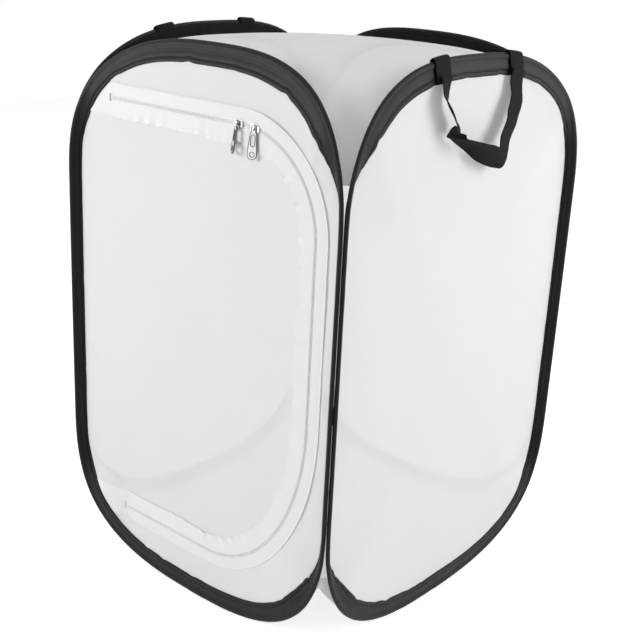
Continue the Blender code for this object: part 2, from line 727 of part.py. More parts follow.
def make_foot(name, panel, s, body):
    """Webbing folded over the sleeve and sewn down on both sides."""
    half = STRAP_WIDTH / 2
    clear = RIM_THICKNESS / 2 + GAP
    sections = []
    profile = [(-clear, -FOOT_INNER_DROP), (-clear, GAP), (clear, GAP), (clear, -FOOT_OUTER_DROP),
               (clear + STRAP_THICKNESS, -FOOT_OUTER_DROP), (clear + STRAP_THICKNESS, GAP + STRAP_THICKNESS),
               (-clear - STRAP_THICKNESS, GAP + STRAP_THICKNESS), (-clear - STRAP_THICKNESS, -FOOT_INNER_DROP)]
    for share in FOOT_STATION_SHARES:
        at = s + half * share
        z, _ = rim_top(panel, at)
        ring = []
        for outwards, rise in profile:
            height = z + rise
            inset = panel.inset(min(height, z))
            point = panel.along * at + panel.out * (panel.plane - inset + outwards)
            point.z = height
            ring.append(point)
        sections.append(ring)
    sweep(name, sections, ("webbing", WEBBING), body, closed=False)


def make_strap(name, panel, offset, body):
    """Hanging loop of webbing: flat at its feet, turned on edge along its bow."""
    axis = handle_axis(panel, offset)
    lowest = panel.out * math.cos(STRAP_LOWEST_ANGLE) + Vector((0, 0, 1)) * math.sin(STRAP_LOWEST_ANGLE)
    sections = []
    centres = []
    for k in range(HANDLE_STEPS + 1):
        angle = math.pi * k / HANDLE_STEPS
        side = math.copysign(abs(math.cos(angle)) ** HANDLE_SIDE_POWER, -math.cos(angle))
        rise = max(math.sin(angle), 0.0)
        s = HANDLE_SPAN / 2 * side + HANDLE_SWAY * rise ** 2
        drop = HANDLE_DROP * rise ** HANDLE_FALL_POWER
        out = HANDLE_STAND_OFF * rise ** HANDLE_OUT_POWER
        point = axis + panel.along * s + panel.out * out
        point.z = axis.z - drop
        centres.append(point)
    for k, centre in enumerate(centres):
        before, after = centres[max(k - 1, 0)], centres[min(k + 1, HANDLE_STEPS)]
        ahead = (after - before).normalized()
        share = math.sin(math.pi * k / HANDLE_STEPS)
        flat = panel.along if k <= HANDLE_STEPS / 2 else -panel.along
        wide = flat * (1 - share) ** 2 + lowest * share
        wide = (wide - ahead * wide.dot(ahead)).normalized() * (STRAP_WIDTH / 2)
        thick = wide.cross(ahead).normalized() * (STRAP_THICKNESS / 2)
        sections.append([centre + wide + thick, centre - wide + thick, centre - wide - thick, centre + wide - thick])
    sides = (1, -1, -1, 1)
    sweep(name, sections, ("webbing", WEBBING), body, closed=False, order=sides)


def clear_scene():
    for obj in list(bpy.data.objects):
        bpy.data.objects.remove(obj, do_unlink=True)


def make_bodies(panels):
    closing_x, closing_y = SEAM_CORNER_X - FIN_END_INSET, SEAM_CORNER_Y - FIN_END_INSET
    bodies = {"root": add_body("root", (0, 0, 0))}
    bodies["right_wall"] = add_body("right_wall", (closing_x, -closing_y, 0))
    bodies["left_wall"] = add_body("left_wall", (-SEAM_CORNER_X, -SEAM_CORNER_Y, 0))
    bodies["rear_wall"] = add_body("rear_wall", (-closing_x, closing_y, 0), bodies["left_wall"])
    bodies["door"] = add_body("door", (hinge_x(ZIP_BOTTOM), HINGE_Y, ZIP_BOTTOM))
    bodies["slider_a"] = add_body("slider_a", (SLIDER_A_X, COIL_CENTRE, ZIP_TOP))
    bodies["slider_b"] = add_body("slider_b", (ARC_CENTRE_X, COIL_CENTRE, ARC_CENTRE_Z), turn=SLIDER_B_ANGLE)
    bodies["pull_a"] = add_body("pull_a", (SLIDER_A_X, PULL_PIVOT_Y, ZIP_TOP + PULL_RISE), bodies["slider_a"])
    reach = TOP_ARC_RADIUS + PULL_RISE
    pivot = (ARC_CENTRE_X + reach * math.sin(SLIDER_B_ANGLE), PULL_PIVOT_Y,
             ARC_CENTRE_Z + reach * math.cos(SLIDER_B_ANGLE))
    bodies["pull_b"] = add_body("pull_b", pivot, bodies["slider_b"])
    for side, offset in (("right", HANDLE_OFFSET_RIGHT), ("left", HANDLE_OFFSET_LEFT)):
        axis = handle_axis(panels[side], offset)
        bodies["handle_" + side] = add_body("handle_" + side, axis, bodies[side + "_wall"])
    return bodies


def main():
    clear_scene()
    panels = make_panels()
    bodies = make_bodies(panels)
    carriers = {"front": "root", "right": "right_wall", "left": "left_wall", "rear": "rear_wall"}
    for name, panel in panels.items():
        body = bodies[carriers[name]]
        make_sleeve(panel, body)
        make_hoop(panel, body)
        make_ferrule(panel, body)
        if name != "front":
            make_net(panel, body)
    make_cover("top_net", panels, HEIGHT - TOP_TIP_DROP, HEIGHT - TOP_CENTRE_DROP,
               TOP_SEAT_SHARE, TOP_FALL_POWER, True)
    make_cover("floor_net", panels, FLOOR_TIP_HEIGHT, FLOOR_CENTRE_HEIGHT,
               FLOOR_SEAT_SHARE, FLOOR_FALL_POWER, False)
    make_front_surround(panels["front"], bodies["root"])
    make_door_net(bodies["door"])
    make_zip(bodies["root"], bodies["door"])
    make_slider("slider_a", SLIDER_A_X, ZIP_TOP, bodies["slider_a"])
    make_slider("slider_b", ARC_CENTRE_X, ZIP_TOP, bodies["slider_b"])
    make_pull("pull_a", bodies["pull_a"])
    make_pull("pull_b", bodies["pull_b"])
    for side, offset in (("right", HANDLE_OFFSET_RIGHT), ("left", HANDLE_OFFSET_LEFT)):
        panel, wall = panels[side], bodies[side + "_wall"]
        for end, sign in (("front", -1), ("rear", 1)):
            if side == "left":
                sign = -sign
            foot = "handle_" + side + "_" + end + "_foot"
            make_foot(foot, panel, offset + sign * HANDLE_SPAN / 2, wall)
        make_strap("handle_" + side, panel, offset, bodies["handle_" + side])


main()
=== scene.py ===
# Insect cage: four sprung hoops in black tape sleeves, gauze walls, a zipped door, two webbing handles
import math

import bpy
import numpy as np
from mathutils import Matrix, Vector, noise
from mathutils.bvhtree import BVHTree


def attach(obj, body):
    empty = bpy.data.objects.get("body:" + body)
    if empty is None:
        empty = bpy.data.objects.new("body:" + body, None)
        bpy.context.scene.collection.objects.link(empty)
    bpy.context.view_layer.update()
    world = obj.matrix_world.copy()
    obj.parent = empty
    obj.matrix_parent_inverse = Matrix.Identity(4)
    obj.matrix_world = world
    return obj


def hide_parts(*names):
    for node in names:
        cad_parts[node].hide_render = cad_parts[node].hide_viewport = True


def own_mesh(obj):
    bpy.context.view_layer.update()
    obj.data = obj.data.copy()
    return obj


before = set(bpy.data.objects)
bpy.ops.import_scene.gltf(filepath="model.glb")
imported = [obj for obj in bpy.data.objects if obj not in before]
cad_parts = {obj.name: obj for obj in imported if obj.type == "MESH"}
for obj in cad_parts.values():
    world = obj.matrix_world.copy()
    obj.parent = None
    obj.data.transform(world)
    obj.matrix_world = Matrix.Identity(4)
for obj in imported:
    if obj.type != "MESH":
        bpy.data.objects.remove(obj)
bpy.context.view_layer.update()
print("frame loaded")


# Small class for shader sums: it wraps a socket, and sums on it add Math nodes

class Signal:
    def __init__(self, finish, socket):
        self.finish, self.socket = finish, socket

    def __add__(self, other):
        return self.finish.maths("ADD", self, other)

    def __radd__(self, other):
        return self.finish.maths("ADD", other, self)

    def __sub__(self, other):
        return self.finish.maths("SUBTRACT", self, other)

    def __rsub__(self, other):
        return self.finish.maths("SUBTRACT", other, self)

    def __mul__(self, other):
        return self.finish.maths("MULTIPLY", self, other)

    def __rmul__(self, other):
        return self.finish.maths("MULTIPLY", other, self)

    def __truediv__(self, other):
        return self.finish.maths("DIVIDE", self, other)

    def __rtruediv__(self, other):
        return self.finish.maths("DIVIDE", other, self)


class Finish:
    def __init__(self, name, world=None):
        self.material = world or bpy.data.materials.new(name)
        self.material.use_nodes = True
        self.tree = self.material.node_tree
        self.tree.nodes.clear()

    def node(self, kind, settings=None, sockets=None, out=0):
        made = self.tree.nodes.new(kind)
        for key, value in (settings or {}).items():
            setattr(made, key, value)
        for key, value in (sockets or {}).items():
            if isinstance(value, Signal):
                self.tree.links.new(value.socket, made.inputs[key])
            else:
                made.inputs[key].default_value = value
        return Signal(self, made.outputs[out]) if made.outputs else made

    def maths(self, operation, first, second):
        return self.node("ShaderNodeMath", {"operation": operation}, {0: first, 1: second})

    def limit(self, value):
        return self.node("ShaderNodeClamp", {}, {"Value": value})

    def tint(self, share, first, second):
        ends = [(*shade, 1.0) if isinstance(shade, tuple) else shade for shade in (first, second)]
        settings = {"data_type": "RGBA", "blend_type": "MIX"}
        return self.node("ShaderNodeMix", settings, {0: share, 6: ends[0], 7: ends[1]}, 2)

    def across(self, name="UV"):
        return self.node("ShaderNodeTexCoord", {}, {}, name)

    def parts(self, vector):
        split = self.tree.nodes.new("ShaderNodeSeparateXYZ")
        self.tree.links.new(vector.socket, split.inputs[0])
        return [Signal(self, output) for output in split.outputs]

    def cloud(self, vector, scale, detail=3.0, roughness=0.55):
        sockets = {"Vector": vector, "Scale": scale, "Detail": detail, "Roughness": roughness}
        return self.node("ShaderNodeTexNoise", {}, sockets)

    def ribs(self, value, pitch):  # 0 to 1 and back, once a pitch
        wave = self.node("ShaderNodeMath", {"operation": "SINE"}, {0: value * (2 * math.pi / pitch)})
        return 0.5 + 0.5 * wave

    def relief(self, height, depth, strength=1.0):
        sockets = {"Strength": strength, "Distance": depth, "Height": height}
        return self.node("ShaderNodeBump", {}, sockets)

    def shader(self, **sockets):
        named = {key.replace("_", " "): value for key, value in sockets.items()}
        return self.node("ShaderNodeBsdfPrincipled", {}, named)

    def close(self, surface):
        self.node("ShaderNodeOutputMaterial", {}, {"Surface": surface})
        return self.material


# Materials, each with the weave or grain of the real one

tapeCloth = {"dark": (0.003, 0.003, 0.003), "light": (0.009, 0.009, 0.009), "pitch": 0.0007,
             "roughness": 0.37, "wornRough": 0.16, "specular": 0.15, "weave": 0.35, "wear": 0.9}
gauzeCloth = {"light": (0.85, 0.855, 0.86), "dark": (0.80, 0.805, 0.81), "pitch": 0.0009, "solid": 0.89,
              "threadCover": 0.05, "cloudCover": 0.03, "roughness": 0.9, "specular": 0.2,
              "through": 0.30, "glow": (0.84, 0.845, 0.85)}
bandCloth = {"light": (0.81, 0.81, 0.81), "dark": (0.74, 0.74, 0.74), "pitch": 0.0006, "roughness": 0.6}
coilNylon = {"light": (0.78, 0.78, 0.78), "dark": (0.58, 0.58, 0.58), "roughness": 0.38}
zipMetal = {"light": (0.86, 0.86, 0.87), "dark": (0.62, 0.62, 0.63), "roughness": 0.24}
# The darker nickel below is painted shade, not a real finish: it darkens a plate on each slider's face and an
# outline round each pull, where bright metal shows shade and dark reflections
zipPaintedShade = {"light": (0.20, 0.20, 0.21), "dark": (0.05, 0.05, 0.055), "roughness": 0.34}
hoopSteel = {"light": (0.42, 0.43, 0.45), "dark": (0.30, 0.31, 0.33), "roughness": 0.35}
strapWebbing = {"dark": (0.003, 0.003, 0.003), "light": (0.018, 0.018, 0.018), "pitch": 0.0013,
                "roughness": 0.75, "specular": 0.12, "weave": 0.7, "wear": 0.5}
threadBlack = {"dark": (0.006, 0.006, 0.006), "light": (0.03, 0.03, 0.03), "roughness": 0.6}


def makeTape():
    look = Finish("blackTape")
    flat = look.across()
    along, over, _ = look.parts(flat)
    weave = look.ribs(along, tapeCloth["pitch"]) * look.ribs(over, tapeCloth["pitch"])
    wear = look.cloud(flat, 55.0, 4.0)
    share = look.limit(tapeCloth["weave"] * weave + tapeCloth["wear"] * wear - 0.1)
    colour = look.tint(share, tapeCloth["dark"], tapeCloth["light"])
    rough = tapeCloth["roughness"] + tapeCloth["wornRough"] * wear
    bump = look.relief(weave + 1.2 * look.cloud(flat, 260.0, 2.0), 0.00012, 0.5)
    return look.close(look.shader(Base_Color=colour, Roughness=rough, Normal=bump,
                                  Specular_IOR_Level=tapeCloth["specular"]))


def makeGauze():
    look = Finish("whiteGauze")
    flat = look.across()
    along, over, _ = look.parts(flat)
    pitch = gauzeCloth["pitch"]
    crossed = {0: look.ribs(along, pitch), 1: look.ribs(over, pitch)}
    thread = look.node("ShaderNodeMath", {"operation": "MAXIMUM"}, crossed)
    soft = look.cloud(flat, 9.0, 3.0)
    colour = look.tint(look.limit(0.6 * soft + 0.35 * thread), gauzeCloth["dark"], gauzeCloth["light"])
    cloudy = gauzeCloth["cloudCover"] * (soft - 0.5)
    cover = look.limit(gauzeCloth["solid"] + gauzeCloth["threadCover"] * thread + cloudy)
    bump = look.relief(thread + 0.6 * look.cloud(flat, 30.0, 2.0), 0.0001, 0.35)
    front = look.shader(Base_Color=colour, Roughness=gauzeCloth["roughness"], Normal=bump,
                        Specular_IOR_Level=gauzeCloth["specular"])
    lit = look.node("ShaderNodeBsdfTranslucent", {}, {"Color": (*gauzeCloth["glow"], 1.0)})
    clear = look.node("ShaderNodeBsdfTransparent", {}, {})
    cloth = look.node("ShaderNodeMixShader", {}, {0: gauzeCloth["through"], 1: front, 2: lit})
    return look.close(look.node("ShaderNodeMixShader", {}, {0: cover, 1: clear, 2: cloth}))


def makeBand(name, mapped):
    look = Finish(name)
    flat = look.across() if mapped else look.across("Object")
    along, over, _ = look.parts(flat)
    pitch = bandCloth["pitch"]
    twill = look.ribs(along + over, pitch)
    soft = look.cloud(flat, 40.0, 3.0)
    colour = look.tint(look.limit(0.5 * soft + 0.4 * twill + 0.2), bandCloth["dark"], bandCloth["light"])
    bump = look.relief(twill + 1.5 * look.cloud(flat, 120.0, 3.0), 0.00012, 0.45)
    rough = bandCloth["roughness"] + 0.1 * soft
    return look.close(look.shader(Base_Color=colour, Roughness=rough, Normal=bump))


def makePlain(name, spec, metallic, scale):
    look = Finish(name)
    flat = look.across("Object")
    soft = look.cloud(flat, scale, 3.0)
    colour = look.tint(look.limit(1.4 * soft - 0.2), spec["dark"], spec["light"])
    bump = look.relief(look.cloud(flat, scale * 12, 2.0), 0.00004, 0.4)
    rough = spec["roughness"] + 0.2 * soft - 0.1
    return look.close(look.shader(Base_Color=colour, Roughness=rough, Metallic=metallic, Normal=bump))


def makeWebbing():
    look = Finish("blackWebbing")
    flat = look.across()
    along, over, _ = look.parts(flat)
    pitch = strapWebbing["pitch"]
    weave = look.ribs(along + 0.5 * look.ribs(over, 2 * pitch) * pitch, pitch) * look.ribs(over, pitch)
    soft = look.cloud(flat, 160.0, 3.0)
    share = look.limit(strapWebbing["weave"] * weave + strapWebbing["wear"] * soft - 0.15)
    colour = look.tint(share, strapWebbing["dark"], strapWebbing["light"])
    rough = strapWebbing["roughness"] + 0.1 * soft
    bump = look.relief(weave, 0.0003, 0.8)
    return look.close(look.shader(Base_Color=colour, Roughness=rough, Normal=bump,
                                  Specular_IOR_Level=strapWebbing["specular"]))


looks = {
    "black_tape": makeTape(),
    "gauze": makeGauze(),
    "white_tape": makeBand("whiteTape", True),
    "white_edge": makeBand("whiteEdge", False),
    "nylon_coil": makePlain("nylonCoil", coilNylon, 0.0, 300.0),
    "nickel": makePlain("brightNickel", zipMetal, 1.0, 90.0),
    # the darker nickel paints shade on the sliders and pulls
    "nickel_painted_shade": makePlain("nickelPaintedShade", zipPaintedShade, 1.0, 90.0),
    "spring_steel": makePlain("springSteel", hoopSteel, 1.0, 60.0),
    "webbing": makeWebbing(),
    "thread": makePlain("blackThread", threadBlack, 0.0, 400.0),
}
print("materials ready")


# Shape of the cage, in metres, as in the frame's own model

cage = {
    "width": 0.400, "depth": 0.420, "height": 0.600,
    "cornerHeight": 0.160, "squareness": 2.7, "groundCut": 0.0005, "seamBow": 0.0008,
    "topLeanFront": 0.031, "topLeanSide": 0.015, "bottomLean": 0.006,
    "rim": 0.0044, "gap": 0.0003, "finAngle": math.radians(45),
    "finReach": 0.58, "twistReach": 0.27, "bandWidth": 0.022, "finWidth": 0.016,
}
rimPlaneX = cage["width"] / 2 - cage["rim"] / 2
rimPlaneY = cage["depth"] / 2 - cage["rim"] / 2
seamInset = (cage["rim"] / 2 + cage["gap"] / 2) * math.sin(cage["finAngle"])


def smooth(share):
    share = min(max(share, 0.0), 1.0)
    return share * share * (3 - 2 * share)


def seamBow(z):
    return cage["seamBow"] * (2 * z / cage["height"] - 1) ** 2


def finTurn(z):
    away = abs(2 * z / cage["height"] - 1) - cage["finReach"]
    return smooth(1 - away / cage["twistReach"])


def bandWidth(z):
    return cage["bandWidth"] + (cage["finWidth"] - cage["bandWidth"]) * finTurn(z)


class Wall:
    def __init__(self, name, body, along, out, plane, halfWidth, halfSize, topLean):
        self.name, self.body = name, body
        self.along, self.out = Vector(along), Vector(out)
        self.plane, self.halfWidth, self.halfSize, self.topLean = plane, halfWidth, halfSize, topLean

    def inset(self, z):
        reach = (cage["cornerHeight"] - min(z, cage["height"] - z)) / cage["cornerHeight"]
        lean = cage["bottomLean"] if z < cage["height"] / 2 else self.topLean
        return seamBow(z) + lean * min(max(reach, 0.0), 1.0) ** cage["squareness"]

    def at(self, s, z, inset):
        point = self.along * s + self.out * (self.plane - inset)
        point.z = z
        return point

    def bowed(self, s, z):
        return s * (1 - seamBow(z) / self.halfSize)


innerX, innerY = rimPlaneX - 2 * seamInset, rimPlaneY - 2 * seamInset
frontSizes = (rimPlaneY, innerX, cage["width"] / 2, cage["topLeanFront"])
sideSizes = (rimPlaneX, innerY, cage["depth"] / 2, cage["topLeanSide"])
walls = {
    "front": Wall("front", "root", (1, 0, 0), (0, -1, 0), *frontSizes),
    "right": Wall("right", "right_wall", (0, 1, 0), (1, 0, 0), *sideSizes),
    "rear": Wall("rear", "rear_wall", (-1, 0, 0), (0, 1, 0), *frontSizes),
    "left": Wall("left", "left_wall", (0, -1, 0), (-1, 0, 0), *sideSizes),
}


def runLength(points):
    return np.concatenate([[0.0], np.cumsum(np.linalg.norm(np.diff(points, axis=0), axis=1))])


def evenly(points, steps, closed=False):
    points = np.array(points, dtype=float)
    if closed:
        points = np.vstack([points, points[:1]])
    length = runLength(points)
    wanted = np.linspace(0.0, length[-1], steps + 1)
    even = np.stack([np.interp(wanted, length, points[:, k]) for k in range(points.shape[1])], axis=1)
    return even[:-1] if closed else even


def loopOutline(halfWidth, steps):
    power = 2 / cage["squareness"]
    angles = np.linspace(0, math.pi / 2, 240)
    side, rise = halfWidth * np.cos(angles) ** power, np.sin(angles) ** power
    tall = cage["cornerHeight"]
    lower = list(zip(side, tall - (tall + cage["groundCut"]) * rise))[::-1]
    upper = list(zip(side, cage["height"] - tall + tall * rise))
    right = lower + upper
    return evenly(right + [(-s, z) for s, z in right][::-1][1:-1], steps, closed=True)


def inwards(path):
    ahead = np.roll(path, -1, axis=0) - np.roll(path, 1, axis=0)
    ahead /= np.linalg.norm(ahead, axis=1)[:, None]
    return np.stack([-ahead[:, 1], ahead[:, 0]], axis=1)


def bandPoint(wall, spot, normal, deep, over):
    angle = cage["finAngle"] * finTurn(spot[1])
    s, z = spot + normal * (deep * math.cos(angle) + over * math.sin(angle))
    inset = wall.inset(z) - (over * math.cos(angle) - deep * math.sin(angle))
    point = wall.at(wall.bowed(s, z), z, inset)
    point.z = max(point.z, 0.0)
    return point


def cloudAt(x, y, scale, seed):
    return noise.noise(Vector((x * scale, y * scale, seed)))


def loopCloud(angle, turns, seed, shift=0.0):  # closes on itself round a loop
    return noise.noise(Vector((math.cos(angle) * turns + shift, math.sin(angle) * turns, seed)))


# Mesh tools

def newPiece(name, points, faces, slotName, body, uvs=None, sharp=40):
    mesh = bpy.data.meshes.new(name)
    mesh.from_pydata([tuple(p) for p in points], [], faces)
    mesh.validate()
    if uvs is not None:
        layer = mesh.uv_layers.new(name="flat")
        for loop in mesh.loops:
            layer.data[loop.index].uv = uvs[loop.vertex_index]
    mesh.shade_smooth()
    mesh.set_sharp_from_angle(angle=math.radians(sharp))
    piece = bpy.data.objects.new(name, mesh)
    bpy.context.collection.objects.link(piece)
    mesh.materials.append(looks[slotName])
    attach(piece, body)
    return piece


def skin(rings, closed=True, caps=False):
    count = len(rings[0])
    points = [p for ring in rings for p in ring]
    faces = []
    for a in range(0, len(points) - count, count):
        b = a + count
        for k in range(count if closed else count - 1):
            after = (k + 1) % count
            faces.append((a + k, a + after, b + after, b + k))
    if caps:
        faces.append(tuple(range(count))[::-1])
        faces.append(tuple(range(len(points) - count, len(points))))
    return points, faces


def centred(rings, middle):  # rings that close on one middle point
    points, faces = skin(rings)
    count, last = len(rings[0]), len(points)
    faces += [(last - count + k, last - count + (k + 1) % count, last) for k in range(count)]
    return points + [middle], faces


# Camera: measured from the outlines of the two front loops

view = {"azimuth": 40.14, "elevation": 19.36, "roll": 2.956, "distance": 1.3125, "aim": (0.0, 0.0, 0.2750),
        "lens": 63.01, "sensor": 36.0}


def makeCamera():
    a, e, r = (math.radians(view[key]) for key in ("azimuth", "elevation", "roll"))
    back = Vector((math.sin(a) * math.cos(e), -math.cos(a) * math.cos(e), math.sin(e)))
    side = (-back).cross(Vector((0, 0, 1))).normalized()
    up = side.cross(-back)
    side, up = side * math.cos(r) + up * math.sin(r), up * math.cos(r) - side * math.sin(r)
    camera = bpy.data.objects.new("camera", bpy.data.cameras.new("camera"))
    camera.data.lens, camera.data.sensor_width = view["lens"], view["sensor"]
    turn = Matrix((side, up, back)).transposed().to_4x4()
    camera.matrix_world = Matrix.Translation(Vector(view["aim"]) + back * view["distance"]) @ turn
    bpy.context.collection.objects.link(camera)
    bpy.context.scene.camera = camera


makeCamera()

# Plain pale room with soft light

room = {
    "floor": 6.0, "floorDrop": 0.0006, "floorShade": (0.80, 0.80, 0.80), "floorGlow": 0.60, "around": 0.34,
    "lamps": [  # place, aim, width, watts
        ((-1.45, -2.05, 1.10), (0.0, 0.0, 0.32), 1.1, 43.0),
        ((2.00, 1.30, 1.05), (0.0, 0.0, 0.32), 1.7, 46.0),
        ((0.3, -0.4, 2.8), (0.0, 0.0, 0.50), 1.6, 12.0),
    ],
}


def seenDirectly(look):  # camera, mirror and glass rays
    rays = look.tree.nodes.new("ShaderNodeLightPath").outputs
    names = ("Is Camera Ray", "Is Glossy Ray", "Is Transmission Ray")
    straight, mirrored, passed = (Signal(look, rays[name]) for name in names)
    return look.limit(straight + mirrored + passed)


def makeRoom():
    bpy.context.scene.view_settings.view_transform = "Standard"
    world = bpy.data.worlds.new("paleRoom")
    bpy.context.scene.world = world
    sky = Finish("paleRoom", world)
    shown = seenDirectly(sky)
    level = room["around"] + shown * (1.0 - room["around"])
    light = sky.node("ShaderNodeBackground", {}, {"Color": (1, 1, 1, 1), "Strength": level})
    sky.node("ShaderNodeOutputWorld", {}, {"Surface": light})

    look = Finish("paleFloor")
    glow = seenDirectly(look) * room["floorGlow"]
    grain = look.cloud(look.across("Object"), 2.0)
    shade = tuple(0.98 * part for part in room["floorShade"])
    lit = look.tint(glow, (0.0, 0.0, 0.0), (1.0, 1.0, 1.0))
    look.close(look.shader(Base_Color=look.tint(grain, room["floorShade"], shade), Roughness=0.9,
                           Emission_Color=lit, Emission_Strength=1.0))
    half = room["floor"] / 2
    mesh = bpy.data.meshes.new("floor")
    corners = [(-half, -half, 0), (half, -half, 0), (half, half, 0), (-half, half, 0)]
    mesh.from_pydata(corners, [], [(0, 1, 2, 3)])
    mesh.materials.append(look.material)
    floor = bpy.data.objects.new("floor", mesh)
    floor.location.z = -room["floorDrop"]
    bpy.context.collection.objects.link(floor)
    for number, (place, aim, width, watts) in enumerate(room["lamps"]):
        lamp = bpy.data.lights.new("softbox" + str(number), "AREA")
        lamp.shape, lamp.size, lamp.energy = "DISK", width, watts
        holder = bpy.data.objects.new(lamp.name, lamp)
        holder.location = place
        holder.rotation_euler = (Vector(place) - Vector(aim)).to_track_quat("Z", "Y").to_euler()
        bpy.context.collection.objects.link(holder)


makeRoom()
print("camera and room ready")


# Sleeves: black tape folded over the hoop and sewn together near its inner edge

sleeve = {
    "steps": 420, "endLap": 0.024, "lapHigh": 0.00035, "hoopDeep": 0.006, "uvStep": 0.0016,
    "ruffle": 0.00035, "ruffleTurns": 14, "crease": 0.0020, "creaseTurns": 30, "wander": 0.0005,
    "notch": 0.0015, "notches": 22, "notchWide": 1.3,
    "rimSide": [(0.0, 0.0006), (0.0006, 0.0014), (0.0016, 0.0020), (0.0030, 0.0022), (0.0044, 0.0020),
                (0.0058, 0.0014), (0.0072, 0.0010)],  # depth from the rim, half thickness
    "edgeSide": [(0.0085, 0.0011), (0.0052, 0.0011), (0.0046, 0.0007), (0.0040, 0.0011), (0.0018, 0.0011),
                 (0.0004, 0.0008), (0.0, 0.0003)],  # depth left to the inner edge, half thickness
    "stitch": 0.0026, "stitchPitch": 0.0036, "stitchWide": 0.0005, "stitchHigh": 0.0004,
    "stitchInset": 0.0046, "stitchSunk": 0.0006, "tapeHigh": 0.0011,
}


def tapeShape(wall, seed):
    path = loopOutline(wall.halfWidth, sleeve["steps"])
    normals = inwards(path)
    around = 2 * math.pi / sleeve["steps"]
    rng = np.random.default_rng(seed)
    dents = rng.uniform(0, sleeve["steps"], sleeve["notches"])
    sizes = rng.uniform(0.3, 1.0, sleeve["notches"]) * sleeve["notch"]
    widths, turns = [], []
    for k, (_, z) in enumerate(path):
        far = np.abs((k - dents + sleeve["steps"] / 2) % sleeve["steps"] - sleeve["steps"] / 2)
        dent = float((sizes * np.exp(-(far / sleeve["notchWide"]) ** 2)).sum())
        slow = sleeve["wander"] * loopCloud(k * around, 5, seed)
        widths.append(bandWidth(z) + slow - dent)
        turn = finTurn(z)
        turns.append(4 * turn * (1 - turn))
    return path, normals, widths, turns


def tapeRipple(seed, k, share, twist):
    angle = 2 * math.pi * k / sleeve["steps"]
    ruffle = sleeve["ruffle"] * loopCloud(angle, sleeve["ruffleTurns"], seed + share) * (0.3 + share)
    fold = loopCloud(angle, sleeve["creaseTurns"], seed + 9, share * 2.2)
    return ruffle + sleeve["crease"] * twist * fold * (0.08 + share)


def makeSleeve(wall, seed):
    path, normals, widths, twists = tapeShape(wall, seed)
    step = np.linalg.norm(path[1] - path[0])
    lapSteps = sleeve["endLap"] / step
    rings = []
    for k in list(range(len(path))) + [0]:
        width, spot, normal = widths[k], path[k], normals[k]
        lap = sleeve["lapHigh"] if k < lapSteps else 0.0
        half = [(deep, thick + lap) for deep, thick in sleeve["rimSide"]]
        half += [(width - left, thick + lap) for left, thick in sleeve["edgeSide"]]
        ring = []
        for deep, thick in half + [(deep, -thick) for deep, thick in half[::-1]]:
            ripple = tapeRipple(seed, k, max(deep - sleeve["hoopDeep"], 0.0) / width, twists[k])
            ring.append(bandPoint(wall, spot, normal, deep, thick + ripple))
        rings.append(ring)
    points, faces = skin(rings)
    uvs = [(i * step, j * sleeve["uvStep"]) for i, ring in enumerate(rings) for j in range(len(ring))]
    piece = newPiece(wall.name + "_tape", points, faces, "black_tape", wall.body, uvs, 50)
    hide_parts(wall.name + "_sleeve")
    makeStitches(wall, path, normals, widths, twists, seed)


def makeStitches(wall, path, normals, widths, twists, seed):
    count = len(path)
    length = count * np.linalg.norm(path[1] - path[0])
    points, faces = [], []
    total = int(length / sleeve["stitchPitch"])

    def at(place):
        low = int(math.floor(place)) % count
        high, part = (low + 1) % count, place - math.floor(place)
        return [run[low] * (1 - part) + run[high] * part for run in (path, normals, widths, twists)]

    for side in (1, -1):
        for k in range(total):
            base = len(points)
            for share in (-1.0, 0.0, 1.0):
                place = ((k + 0.5) * sleeve["stitchPitch"] + share * sleeve["stitch"] / 2) / length * count
                spot, normal, width, twist = at(place)
                deep = width - sleeve["stitchInset"]
                ripple = tapeRipple(seed, place, max(deep - sleeve["hoopDeep"], 0.0) / width, twist)
                low = sleeve["stitchSunk"]
                high = sleeve["tapeHigh"] + sleeve["stitchHigh"] * (1 - abs(share) * 0.8)
                wide = sleeve["stitchWide"] / 2 * (1 - abs(share) * 0.5)
                for offset, height in ((-wide, low), (0.0, high), (wide, low)):
                    points.append(bandPoint(wall, spot, normal, deep + offset, side * height + ripple))
            for ring in (0, 3):
                low = base + ring
                faces += [(low + j, low + (j + 1) % 3, low + 3 + (j + 1) % 3, low + 3 + j) for j in range(3)]
            faces += [(base, base + 1, base + 2), (base + 6, base + 8, base + 7)]
    newPiece(wall.name + "_stitches", points, faces, "thread", wall.body)


for number, wall in enumerate(walls.values()):
    makeSleeve(wall, 3 + number)
print("sleeves ready")


# Gauze walls

gauze = {"steps": 240, "tuck": 0.003, "waves": 0.0010, "pucker": 0.0007, "flat": (0.372, 0.560),
         "shares": (1.0, 0.985, 0.96, 0.93, 0.89, 0.83, 0.75, 0.65, 0.54, 0.42, 0.28, 0.14)}


def netEdge(wall, steps):
    path = loopOutline(wall.halfWidth, steps)
    found = []
    for spot, normal in zip(path, inwards(path)):
        angle = cage["finAngle"] * finTurn(spot[1])
        deep = bandWidth(spot[1]) - gauze["tuck"]
        s, z = spot + normal * deep * math.cos(angle)
        found.append((wall.bowed(s, z), z, wall.inset(z) + deep * math.sin(angle)))
    return found


def makeWallNet(wall, seed):
    edge = netEdge(wall, gauze["steps"])
    middle = cage["finWidth"] * math.sin(cage["finAngle"])
    rings, uvs = [], []
    centre = cage["height"] / 2
    for share in gauze["shares"]:
        ring = []
        for k, (s, z, deep) in enumerate(edge):
            inset = middle + (deep - middle) * share ** 3
            x, height = s * share, centre + (z - centre) * share
            soft = gauze["waves"] * cloudAt(x, height, 9.0, seed) * (1 - share ** 6)
            rim = gauze["pucker"] * noise.noise(Vector((k * 0.31, seed, 4.0)))
            rim *= share ** 10 * (1 - share) * 14
            ring.append(wall.at(x, height, inset + soft + rim))
            uvs.append((x, height))
        rings.append(ring)
    points, faces = centred(rings, wall.at(0.0, centre, middle))
    uvs.append((0.0, centre))
    piece = newPiece(wall.name + "_gauze", points, faces, "gauze", wall.body, uvs, 180)
    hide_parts(wall.name + "_net")


